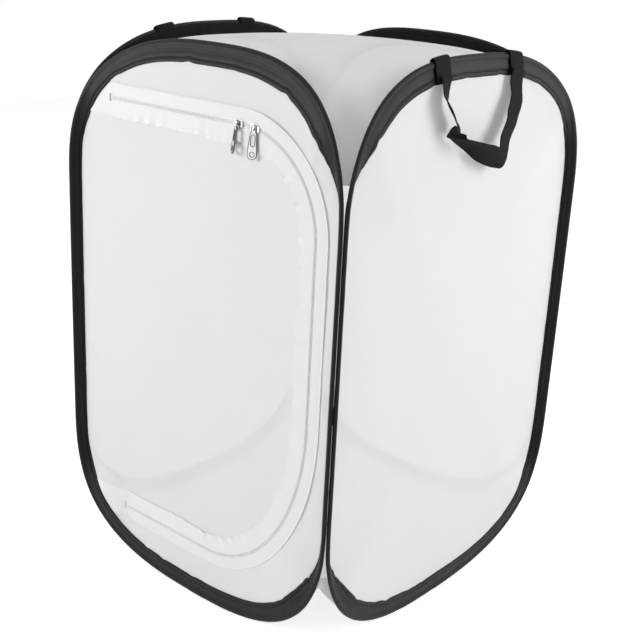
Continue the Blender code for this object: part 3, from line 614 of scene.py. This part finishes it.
for number, name in enumerate(("right", "rear", "left")):
    makeWallNet(walls[name], 20 + number)
print("gauze walls ready")


# Top and floor: one gauze cloth each, cut along the diagonals so that each part folds with its wall

covers = {
    "top": {"tip": 0.497, "centre": 0.590, "seat": 0.86, "behind": 0.0017, "fall": 7, "node": "top_net"},
    "floor": {"tip": 0.103, "centre": 0.0035, "seat": 0.14, "behind": 0.0028, "fall": 3, "node": "floor_net"},
}
coverCloth = {"steps": 56, "waves": 0.0012, "lowest": 0.001, "keep": 0.2, "flat": (0.40, 0.26),
              "shares": (1.0, 0.985, 0.97, 0.95, 0.925, 0.895, 0.86, 0.82, 0.77, 0.71, 0.62, 0.50, 0.35,
                         0.18, 0.0)}


def seatArc(wall, spec):
    path = loopOutline(wall.halfWidth, 2400)
    normals = inwards(path)
    away = 1 if spec["centre"] > spec["tip"] else -1
    keep = [k for k, (_, z) in enumerate(path) if (z - spec["tip"]) * away > 0]
    keep.sort(key=lambda k: path[k][0])
    seats = []
    for k in keep:
        deep = spec["seat"] * bandWidth(path[k][1])
        seats.append(bandPoint(wall, path[k], normals[k], deep, -spec["behind"]))
    return evenly(seats, coverCloth["steps"])


def makeCover(name, spec):
    rims = {wall.name: seatArc(wall, spec) for wall in walls.values()}
    order = list(walls)
    joints = {}  # neighbouring parts share the point halfway between their rims' ends
    for k, first in enumerate(order):
        second = order[(k + 1) % 4]
        joints[first] = (Vector(rims[first][-1]) + Vector(rims[second][0])) / 2
    for k, wallName in enumerate(order):
        edge = [joints[order[k - 1]]] + [Vector(p) for p in rims[wallName]] + [joints[wallName]]
        rings, uvs = [], []
        for share in coverCloth["shares"]:
            ring = []
            for point in edge:
                rise = (point.z - spec["centre"]) * share ** spec["fall"]
                x, y = point.x * share, point.y * share
                soft = coverCloth["waves"] * cloudAt(x, y, 8.0, 31.0)
                soft *= (1 - share ** 4) * min(share * 4, 1.0)
                ring.append(Vector((x, y, max(spec["centre"] + rise + soft, coverCloth["lowest"]))))
                uvs.append((x, y))
            rings.append(ring)
        points, faces = skin(rings, closed=False)
        wall = walls[wallName]
        piece = newPiece(name + "_gauze_" + wallName, points, faces, "gauze", wall.body, uvs, 180)
        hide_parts(spec["node"])
        anchor = wall.out * wall.plane
        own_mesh(piece)
        wallName + "_tape"


for name, spec in covers.items():
    makeCover(name, spec)
print("top and floor ready")


# Door opening: a D-shaped zip with its straight side along the hinge line

door = {
    "plane": -0.198, "top": 0.532, "bottom": 0.062, "right": 0.158, "hingeTop": -0.130, "hingeBottom": -0.112,
    "topArc": 0.097, "lowArcWide": 0.135, "lowArcHigh": 0.190, "tack": 0.0016, "steps": 360,
    "centre": (0.015, 0.300), "overlap": 0.0030, "slack": 0.0016, "stiff": 0.10,
    "netFlat": (0.300, 0.480), "surroundFlat": (0.360, 0.565),
    "shares": (0.0, 0.04, 0.10, 0.20, 0.34, 0.52, 0.72, 0.88, 1.0),
}
arcX, arcZ = door["right"] - door["topArc"], door["top"] - door["topArc"]


def hingeX(z):
    share = (z - door["bottom"]) / (door["top"] - door["bottom"])
    return door["hingeBottom"] + (door["hingeTop"] - door["hingeBottom"]) * share


def zipTrack(steps):
    points = [(hingeX(door["top"]) + door["tack"], door["top"])]
    quarter = np.linspace(0, math.pi / 2, 61)
    arc, wide, high = door["topArc"], door["lowArcWide"], door["lowArcHigh"]
    lowX, lowZ = door["right"] - wide, door["bottom"] + high
    points += [(arcX + arc * math.sin(a), arcZ + arc * math.cos(a)) for a in quarter]
    points += [(lowX + wide * math.cos(a), lowZ - high * math.sin(a)) for a in quarter]
    points.append((hingeX(door["bottom"]) + door["tack"], door["bottom"]))
    return evenly(points, steps)


def sideways(path):
    ahead = np.gradient(path, axis=0)
    ahead /= np.linalg.norm(ahead, axis=1)[:, None]
    return np.stack([-ahead[:, 1], ahead[:, 0]], axis=1)


def doorOutline(offset, steps):
    path = zipTrack(400)
    path = path + sideways(path) * offset
    ends = [(hingeX(z), z) for z in (path[0][1], path[-1][1])]
    return evenly(ends[:1] + [tuple(p) for p in path] + ends[1:], steps, closed=True)


def makeDoorNet():
    outline = doorOutline(-door["overlap"], door["steps"])
    centre = np.array(door["centre"])
    rings, uvs = [], []
    for share in door["shares"][::-1][:-1]:
        ring = []
        for x, z in centre + (outline - centre) * share:
            nearHinge = min(max((x - hingeX(z)) / door["stiff"], 0.0), 1.0)
            slack = door["slack"] * cloudAt(x, z, 8.0, 51.0) * (1 - share ** 5) * nearHinge
            ring.append((x, door["plane"] + slack, z))
            uvs.append((x, z))
        rings.append(ring)
    points, faces = centred(rings, (centre[0], door["plane"], centre[1]))
    uvs.append(tuple(centre))
    piece = newPiece("door_gauze", points, faces, "gauze", "door", uvs, 180)
    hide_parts("door_net")


def makeSurround():
    wall = walls["front"]
    outline = doorOutline(door["overlap"], door["steps"])
    centre = door["centre"]
    edge = np.array(netEdge(wall, 2 * gauze["steps"]))
    spin = np.arctan2(edge[:, 1] - centre[1], edge[:, 0] - centre[0])
    order = np.argsort(spin)
    spin, edge = spin[order], edge[order]
    wrapped = np.concatenate([spin - 2 * math.pi, spin, spin + 2 * math.pi])
    table = np.vstack([edge] * 3)
    at = np.arctan2(outline[:, 1] - centre[1], outline[:, 0] - centre[0])
    outer = np.stack([np.interp(at, wrapped, table[:, c]) for c in range(3)], axis=1)
    inset = wall.plane + door["plane"]
    rings, uvs = [], []
    for share in door["shares"]:
        ring = []
        for k in range(len(outline)):
            x = outline[k][0] + (outer[k][0] - outline[k][0]) * share
            z = outline[k][1] + (outer[k][1] - outline[k][1]) * share
            deep = inset + (outer[k][2] - inset) * share ** 1.6
            soft = gauze["waves"] * cloudAt(x, z, 14.0, 52.0) * share * (1 - share) * 4
            ring.append(wall.at(x, z, deep + soft))
            uvs.append((x, z))
        rings.append(ring)
    points, faces = skin(rings)
    piece = newPiece("front_gauze", points, faces, "gauze", "root", uvs, 180)
    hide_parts("front_surround")
    return BVHTree.FromPolygons([tuple(p) for p in points], faces)


makeDoorNet()
surroundFace = makeSurround()
print("door ready")


# Zip: a bright band on each side of the coils, the door's one with a puckered hem

band = {
    "steps": 640, "frameNear": 0.0018, "frameWide": 0.0135, "doorNear": 0.0018, "doorWide": 0.0185,
    "front": -0.1993, "thick": 0.0005, "pucker": 0.0018, "puckerPitch": 0.009, "scallop": 0.0020,
    "swingPitch": 0.045, "plainSwing": 0.0003, "hemAt": 0.84, "hemHigh": 0.0002,
    "shares": (0.0, 0.08, 0.25, 0.45, 0.62, 0.76, 0.84, 0.88, 0.92, 0.96, 1.0),
}
coil = {"pitch": 0.0016, "middle": 0.0009, "wide": 0.0008, "high": 0.0007, "depth": -0.19895, "rib": 0.22,
        "steps": 2400, "sides": 8}
tack = {
    "rows": 15, "half": 0.0045, "gap": 0.0024, "depth": -0.1991, "thick": 0.0004, "high": 0.00032,
    "section": ((0.0016, 0.5), (0.0012, 1.0), (0.0004, 1.0), (0.0, 0.5)),  # back from its right end, fullness
}
bandEnd = {"start": 0.0002, "under": 0.0006, "front": 0.0003, "back": 0.0001, "rows": 9, "columns": 13}


def makeBandStrip(name, sign, near, wide, body, node, ruffled):
    path = zipTrack(band["steps"])
    rings, uvs = [], []
    for spot, side, run in zip(path, sideways(path), runLength(path)):
        wave = noise.noise(Vector((run / band["puckerPitch"], 3.0 * sign, 7.0)))
        swing = noise.noise(Vector((run / band["swingPitch"], 5.0, sign)))
        edge = wide + (band["scallop"] * (wave * 0.7 + swing) if ruffled else band["plainSwing"] * swing)
        lift = band["pucker"] * (wave * 0.8 + 0.3 * swing) if ruffled else 0.0
        face, back = [], []
        for share in band["shares"]:
            x, z = spot + side * sign * (near + edge * share)
            hem = band["hemHigh"] if share == band["hemAt"] else 0.0
            y = band["front"] + lift * share ** 1.5
            face.append((x, y + hem, z))
            back.append((x, y + band["thick"], z))
        rings.append(face + back[::-1])
        uvs += [(run, sign * (near + wide * share)) for share in band["shares"] + band["shares"][::-1]]
    points, faces = skin(rings, caps=True)
    piece = newPiece(name, points, faces, "white_tape", body, uvs, 60)
    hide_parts(node)


def makeCoil(name, sign, body, node):
    path = zipTrack(coil["steps"])
    rings, uvs = [], []
    for spot, side, run in zip(path, sideways(path), runLength(path)):
        ribbed = 1 - coil["rib"] * (0.5 + 0.5 * math.cos(2 * math.pi * run / coil["pitch"] + sign))
        middle = spot + side * sign * coil["middle"]
        ring = []
        for j in range(coil["sides"]):
            angle = 2 * math.pi * j / coil["sides"]
            x, z = middle + side * sign * coil["wide"] * math.cos(angle) * ribbed
            ring.append((x, coil["depth"] + coil["high"] * math.sin(angle) * ribbed, z))
            uvs.append((run, angle * coil["wide"]))
        rings.append(ring)
    points, faces = skin(rings, caps=True)
    piece = newPiece(name, points, faces, "nylon_coil", body, uvs, 180)
    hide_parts(node)


def makeTack(name, z, node):
    right = min(hingeX(z - tack["half"]), hingeX(z + tack["half"])) - tack["gap"]
    pitch = 2 * tack["half"] / tack["rows"]
    angles = [2 * math.pi * j / 6 for j in range(6)]
    points, faces = [], []
    for k in range(tack["rows"]):
        middle = z - tack["half"] + pitch * (k + 0.5)
        rings = [[(right - reach, tack["depth"] + tack["thick"] * full * math.cos(a),
                   middle + tack["high"] * full * math.sin(a)) for a in angles]
                 for reach, full in tack["section"]]
        more, sides = skin(rings, caps=True)
        faces += [tuple(len(points) + index for index in side) for side in sides]
        points += more
    piece = newPiece(name, points, faces, "white_tape", "root", [(p[0], p[2]) for p in points], 60)
    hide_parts(node)


def makeTail(name, z, low, high):  # the bands run on past the zip's end to the sleeve
    wall = walls["front"]
    edge = np.array([point for point in netEdge(wall, 2 * gauze["steps"]) if point[0] < 0])
    rings, uvs = [], []
    for height in np.linspace(z - low, z + high, bandEnd["rows"]):
        near = edge[np.argmin(np.abs(edge[:, 1] - height))]
        start, end = hingeX(height) + bandEnd["start"], near[0] + bandEnd["under"]
        face, back, deep = [], [], door["plane"]
        for x in start + (end - start) * np.linspace(0.0, 1.0, bandEnd["columns"]):
            found = surroundFace.ray_cast(Vector((x, -1.0, height)), Vector((0.0, 1.0, 0.0)))[0]
            deep = found.y if found else deep
            face.append((x, deep - bandEnd["front"], height))
            back.append((x, deep - bandEnd["back"], height))
        rings.append(face + back[::-1])
        uvs += [(x, height) for x, _, _ in rings[-1]]
    points, faces = skin(rings, caps=True)
    newPiece(name, points, faces, "white_tape", "root", uvs, 60)


makeBandStrip("zip_band_frame", 1, band["frameNear"], band["frameWide"], "root", "zip_tape_frame", False)
makeBandStrip("zip_band_door", -1, band["doorNear"], band["doorWide"], "door", "zip_tape_door", True)
makeCoil("coil_frame", 1, "root", "zip_coil_frame")
makeCoil("coil_door", -1, "door", "zip_coil_door")
makeTail("tail_top", door["top"], band["doorWide"], band["frameWide"])
makeTail("tail_bottom", door["bottom"], band["frameWide"], band["doorWide"])
makeTack("tack_top", door["top"], "top_zip_tack")
makeTack("tack_bottom", door["bottom"], "bottom_zip_tack")
print("zip ready")


# Sliders and pulls

slider = {
    "reach": 0.0045, "spacing": 0.022, "long": 0.0112, "nose": 0.0070, "tail": 0.0048, "corner": 0.0011,
    "plate": 0.0009, "front": -0.2009, "back": -0.1978, "neck": 0.0006, "neckAt": 0.0034,
    "bailWide": 0.0012, "bailThick": 0.0008, "bailHigh": 0.0022, "bailHalf": 0.0030,
    "wellLow": -0.0016, "wellTop": 0.0012, "wellCorner": 0.0009, "wellThick": 0.0003, "wellSunk": 0.0001,
}
pull = {
    "depth": -0.2019, "long": 0.0310, "neck": 0.0042, "top": 0.0068, "tip": 0.0096, "thick": 0.0011,
    "neckLong": 0.0056, "edge": 0.0005, "edgeThick": 0.0003, "windowWide": 0.0042, "windowTop": -0.0078,
    "windowLow": -0.0186, "holeRadius": 0.0023, "holeUp": 0.0002, "eyeWide": 0.0024, "eyeTop": -0.0002,
    "eyeLow": -0.0044,
}


def flatPlate(outlines, thick, bevel):
    shape = bpy.data.curves.new("outline", "CURVE")
    shape.dimensions, shape.fill_mode = "2D", "BOTH"
    shape.extrude, shape.bevel_depth, shape.bevel_resolution = thick / 2 - bevel, bevel, 2
    for outline in outlines:
        line = shape.splines.new("POLY")
        line.points.add(len(outline) - 1)
        for point, (x, y) in zip(line.points, outline):
            point.co = (x, y, 0.0, 1.0)
        line.use_cyclic_u = True
    holder = bpy.data.objects.new("outline", shape)
    mesh = bpy.data.meshes.new_from_object(holder)
    bpy.data.objects.remove(holder)
    bpy.data.curves.remove(shape)
    return mesh


def roundOutline(points, radius, steps=6):
    found = []
    for k in range(len(points)):
        before, here, after = (Vector(points[(k + turn) % len(points)]) for turn in (-1, 0, 1))
        start = here + (before - here).normalized() * radius
        end = here + (after - here).normalized() * radius
        for j in range(steps + 1):
            t = j / steps
            found.append(tuple(start * (1 - t) ** 2 + here * 2 * t * (1 - t) + end * t * t))
    return found


def joined(name, parts, slotName, body, matrix):
    points, faces = [], []
    for mesh, placed in parts:
        base = len(points)
        points += [matrix @ placed @ vertex.co for vertex in mesh.vertices]
        faces += [tuple(base + index for index in polygon.vertices) for polygon in mesh.polygons]
    return newPiece(name, points, faces, slotName, body, None, 35)


def facing(depth):  # turns a flat plate to stand in the door's plane
    return Matrix.Translation((0, depth, 0)) @ Matrix.Rotation(math.radians(90), 4, "X")


def bentWire(path, wide, high):
    rings = []
    for k, point in enumerate(path):
        ahead = (path[min(k + 1, len(path) - 1)] - path[max(k - 1, 0)]).normalized()
        side = Vector((1, 0, 0))
        over = ahead.cross(side).normalized()
        rings.append([point + side * wide / 2 * math.cos(a) + over * high / 2 * math.sin(a)
                      for a in [2 * math.pi * j / 8 for j in range(8)]])
    points, faces = skin(rings, caps=True)
    mesh = bpy.data.meshes.new("wire")
    mesh.from_pydata([tuple(p) for p in points], [], faces)
    return mesh


def box(left, right, low, high):
    return [(left, low), (right, low), (right, high), (left, high)]


def makeSlider(name, x, z, turn, mouth):
    half, nose, tail = slider["long"] / 2, slider["nose"] / 2, slider["tail"] / 2
    long, short = mouth * half, mouth * half * 0.35
    plan = [(-long, -tail), (short, -nose), (long, -nose * 0.92),
            (long, nose * 0.92), (short, nose), (-long, tail)]
    plate = flatPlate([roundOutline(plan[::mouth], slider["corner"])], slider["plate"], 0.0002)
    front, back, neck = slider["front"], slider["back"], slider["neck"]
    post = flatPlate([roundOutline(box(-neck, neck, -neck, neck), neck / 2)], back - front, 0.0001)
    bail = [Vector((0, front - slider["bailHigh"] * math.sin(a) ** 0.7, -slider["bailHalf"] * math.cos(a)))
            for a in np.linspace(0, math.pi, 17)]
    place = Matrix.Translation((x, 0, z)) @ Matrix.Rotation(turn, 4, "Y")
    parts = [(plate, facing(front + slider["plate"] / 2)), (plate, facing(back - slider["plate"] / 2)),
             (post, Matrix.Translation((mouth * slider["neckAt"], 0, 0)) @ facing((front + back) / 2)),
             (bentWire(bail, slider["bailWide"], slider["bailThick"]), Matrix.Identity(4))]
    piece = joined(name + "_body", parts, "nickel", name, place)
    # A thin dark nickel plate laid on the slider's face, where its hollow under the bail would show: painted
    # shade, not a real part or finish
    outline = box(-half * 0.7, half * 0.55, slider["wellLow"], slider["wellTop"])
    well = flatPlate([roundOutline(outline, slider["wellCorner"])], slider["wellThick"], 0.0001)
    joined(name + "_well_shade", [(well, facing(front - slider["wellSunk"]))], "nickel_painted_shade", name, place)
    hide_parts(name)


def slotOutline(wide, high, low, more=0.0):
    r = wide / 2 + more
    upper, lower = high + more - r, low - more + r
    arc = [(r * math.cos(a), r * math.sin(a)) for a in np.linspace(0, math.pi, 11)]
    return [(u, upper + v) for u, v in arc] + [(-u, lower - v) for u, v in arc]


def makePull(name, x, z, twist, lean, sway):
    neck, top, tip = pull["neck"] / 2, pull["top"] / 2, pull["tip"] / 2
    long, low = pull["long"], pull["neckLong"]
    side = [(neck * 0.75, 0.0012), (neck, 0.0), (neck, -low * 0.6), (neck * 1.1, -low * 0.85),
            (top, -low * 1.25), (top * 1.04, -low * 1.6),
            (tip * 0.97, -long + tip * 1.7), (tip, -long + tip * 1.2)]
    end = [(tip * math.cos(a), -long + tip - tip * math.sin(a)) for a in np.linspace(0.1, math.pi - 0.1, 17)]
    outer = np.array(side + end + [(-u, v) for u, v in side[::-1]])
    inner = outer - inwards(outer) * pull["edge"]

    def hole(radius):
        middle = -long + tip + pull["holeUp"]
        return [(radius * math.cos(a), middle + radius * math.sin(a))
                for a in np.linspace(0, 2 * math.pi, 24, endpoint=False)]

    edge = pull["edge"] * 0.8
    window = (pull["windowWide"], pull["windowTop"], pull["windowLow"])
    eye = slotOutline(pull["eyeWide"], pull["eyeTop"], pull["eyeLow"])
    wider = [slotOutline(*window, edge), hole(pull["holeRadius"] + edge)]
    face = flatPlate([inner, eye] + wider, pull["thick"], 0.0002)
    narrow = [slotOutline(*window), hole(pull["holeRadius"])]
    # The rim is dark nickel round the tag's outer edge, its window and its hole: painted shade along edges
    # that would show dark reflections
    rim = flatPlate([outer, inner] + wider + narrow, pull["thick"] + pull["edgeThick"], 0.0001)
    turn = Matrix.Rotation(lean, 4, "X") @ Matrix.Rotation(sway, 4, "Y") @ Matrix.Rotation(twist, 4, "Z")
    place = Matrix.Translation((x, pull["depth"], z)) @ turn
    piece = joined(name + "_tag", [(face, facing(0.0))], "nickel", name, place)
    joined(name + "_rim", [(rim, facing(0.0))], "nickel_painted_shade", name, place)
    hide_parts(name)


turnB = (slider["spacing"] - slider["reach"]) / door["topArc"]
xB, zB = arcX + door["topArc"] * math.sin(turnB), arcZ + door["topArc"] * math.cos(turnB)
makeSlider("slider_a", arcX - slider["reach"], door["top"], 0.0, 1)
makeSlider("slider_b", xB, zB, turnB, -1)
makePull("pull_a", 0.0565, 0.5341, math.radians(-32), math.radians(-3), math.radians(8))
makePull("pull_b", 0.0788, 0.5325, math.radians(24), math.radians(-2), math.radians(2))
print("sliders ready")


# Webbing handles: rows give the middle of the strap and half its width, in mm (out, along, up)

strap = {
    "thick": 0.0014, "between": 6, "fluff": 0.018, "least": 0.0095, "most": 0.012, "otherSide": 0.03,
    "edge": [(-0.96, 0.8), (-0.86, 1), (-0.4, 1), (0, 1), (0.4, 1), (0.86, 1), (0.96, 0.8)],
    "rows": [
        (192.2, -61.4, 583.0, 0.4, -10.4, 0.6), (192.5, -62.0, 578.4, 1.4, -9.4, 1.4),
        (193.8, -63.4, 571.7, 2.6, -8.6, 2.4), (195.6, -65.0, 564.9, 3.6, -9.0, 3.0),
        (197.6, -63.6, 559.0, 5.2, -9.0, 3.6), (199.6, -58.0, 549.9, 5.4, -9.2, 4.1),
        (200.0, -52.6, 542.6, 5.4, -9.8, 3.8), (201.0, -48.9, 535.5, 4.6, -10.0, 3.6),
        (201.5, -51.6, 530.8, -1.8, -8.8, 0.9), (202.0, -50.4, 526.0, -7.8, -4.9, 0.9),
        (202.5, -39.7, 521.1, -11.0, -1.2, -2.0), (203.0, -23.0, 514.5, -10.3, 0.9, -5.8),
        (203.5, -7.5, 507.6, -7.9, -0.1, -9.1), (203.5, 6.8, 502.9, -5.8, -1.0, -10.5),
        (203.0, 20.6, 498.4, -3.9, 1.7, -11.2), (203.0, 30.2, 496.6, -1.4, 5.4, -10.6),
        (202.5, 34.8, 500.8, -0.8, 8.0, -8.9), (202.0, 36.4, 508.0, -0.9, 9.7, -6.6),
        (201.0, 38.4, 515.0, -1.2, 10.5, -4.8), (200.0, 43.9, 522.9, -1.4, 10.3, -4.8),
        (199.0, 50.6, 531.9, -0.9, 10.6, -4.5), (198.2, 53.5, 540.7, -0.2, 11.2, -3.6),
        (197.4, 57.2, 546.9, 0.0, 11.3, -3.4), (196.0, 61.0, 555.0, 0.3, 11.0, -4.2),
        (194.4, 61.4, 562.7, 0.4, 11.1, -4.0), (192.9, 62.0, 571.2, 0.3, 11.5, -2.6),
        (192.2, 65.2, 579.0, -0.3, 11.9, -1.0), (192.2, 66.4, 583.0, 0.0, 12.0, 0.0),
    ],
}
handles = {"right": {"offset": 0.003, "sign": 1, "shift": 0.0},
           "left": {"offset": 0.016, "sign": -1, "shift": -0.013}}
foot = {"wide": 0.024, "thick": 0.0014, "outerDrop": 0.0205, "innerDrop": 0.0035, "stations": 13,
        "span": 0.130, "bend": 0.0005, "uvStep": 0.0018, "pressed": 0.35}


def between(rows, steps):  # smooth run through the rows
    rows = np.array(rows, dtype=float)
    found = []
    for k in range(len(rows) - 1):
        a, b, c, d = (rows[min(max(k + j, 0), len(rows) - 1)] for j in (-1, 0, 1, 2))
        for j in range(steps):
            t = j / steps
            bend = (2 * a - 5 * b + 4 * c - d) * t * t + (3 * b - a - 3 * c + d) * t ** 3
            found.append(0.5 * (2 * b + (c - a) * t + bend))
    found.append(rows[-1])
    return found


def makeStrap(side):
    spec = handles[side]
    rows = between(strap["rows"], strap["between"])
    rings, uvs, run = [], [], 0.0
    section = [(-1, 0)] + strap["edge"] + [(1, 0)] + [(-u, -v) for u, v in strap["edge"]]
    place = [Vector(row[:3]) * 0.001 for row in rows]
    for k, row in enumerate(rows):
        ahead = (place[min(k + 1, len(place) - 1)] - place[max(k - 1, 0)]).normalized()
        wide = Vector(row[3:]) * 0.001
        wide = wide - ahead * wide.dot(ahead) * 0.6
        wide = wide * (min(max(wide.length, strap["least"]), strap["most"]) / wide.length)
        thin = wide.cross(ahead).normalized() * strap["thick"] / 2
        wave = strap["fluff"] * noise.noise(Vector((k * 0.35, 2.0, 1.0)))
        ring = []
        for across, over in section:
            point = place[k] + wide * (across + wave) + thin * over
            ring.append(Vector((point.x * spec["sign"], point.y * spec["sign"] + spec["shift"], point.z)))
            uvs.append((run, across * strap["most"] + (strap["otherSide"] if over < 0 else 0.0)))
        rings.append(ring)
        if k + 1 < len(place):
            run += (place[k + 1] - place[k]).length
    points, faces = skin(rings, caps=True)
    piece = newPiece("strap_" + side, points, faces, "webbing", "handle_" + side, uvs, 50)
    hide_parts("handle_" + side)


def rimTop(wall, s):
    share = min(abs(s) / wall.halfWidth, 1.0)
    tall = cage["cornerHeight"]
    return cage["height"] - tall + tall * (1 - share ** cage["squareness"]) ** (1 / cage["squareness"])


def makeFoot(name, wall, s, node):
    clear = cage["rim"] / 2 + cage["gap"]
    middle = clear + foot["thick"] / 2
    profile = [(middle, -foot["outerDrop"] * (1 - k / 8)) for k in range(8)]
    arc = np.linspace(0, math.pi, 13)
    profile += [(middle * math.cos(a), middle * math.sin(a) - foot["bend"]) for a in arc]
    profile += [(-middle, -foot["innerDrop"] * (k + 1) / 2) for k in range(2)]
    rings, uvs = [], []
    for share in np.linspace(-1, 1, foot["stations"]):
        at = s + foot["wide"] / 2 * share
        z = rimTop(wall, at)
        outer, inner = [], []
        for k, (out, rise) in enumerate(profile):
            after, before = profile[min(k + 1, len(profile) - 1)], profile[max(k - 1, 0)]
            ahead = Vector((after[0] - before[0], after[1] - before[1])).normalized()
            normal = Vector((ahead.y, -ahead.x))
            for side, found in ((1, outer), (-1, inner)):
                half = side * foot["thick"] / 2 * (foot["pressed"] if abs(share) == 1 else 1.0)
                height = z + rise + normal.y * half
                found.append(wall.at(at, height, wall.inset(min(height, z)) - out - normal.x * half))
        rings.append(outer + inner[::-1])
        flat = [(k * foot["uvStep"], share * foot["wide"] / 2) for k in range(len(profile))]
        uvs += flat + [(u, v + strap["otherSide"]) for u, v in flat[::-1]]
    points, faces = skin(rings, caps=True)
    piece = newPiece(name, points, faces, "webbing", wall.body, uvs, 50)
    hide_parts(node)


for side, spec in handles.items():
    makeStrap(side)
    for end, sign in (("front", -1), ("rear", 1)):
        s = spec["offset"] + sign * spec["sign"] * foot["span"] / 2
        makeFoot("strap_foot_" + side + "_" + end, walls[side], s, "handle_" + side + "_" + end + "_foot")
print("handles ready")


# Pieces kept from the frame's own model

keptFinish = {"hoop": "spring_steel", "ferrule": "spring_steel", "binding": "white_edge"}
for name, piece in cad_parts.items():
    kind = name.split("_")[-1]
    if kind in keptFinish:
        piece.data.materials.clear()
        piece.data.materials.append(looks[keptFinish[kind]])
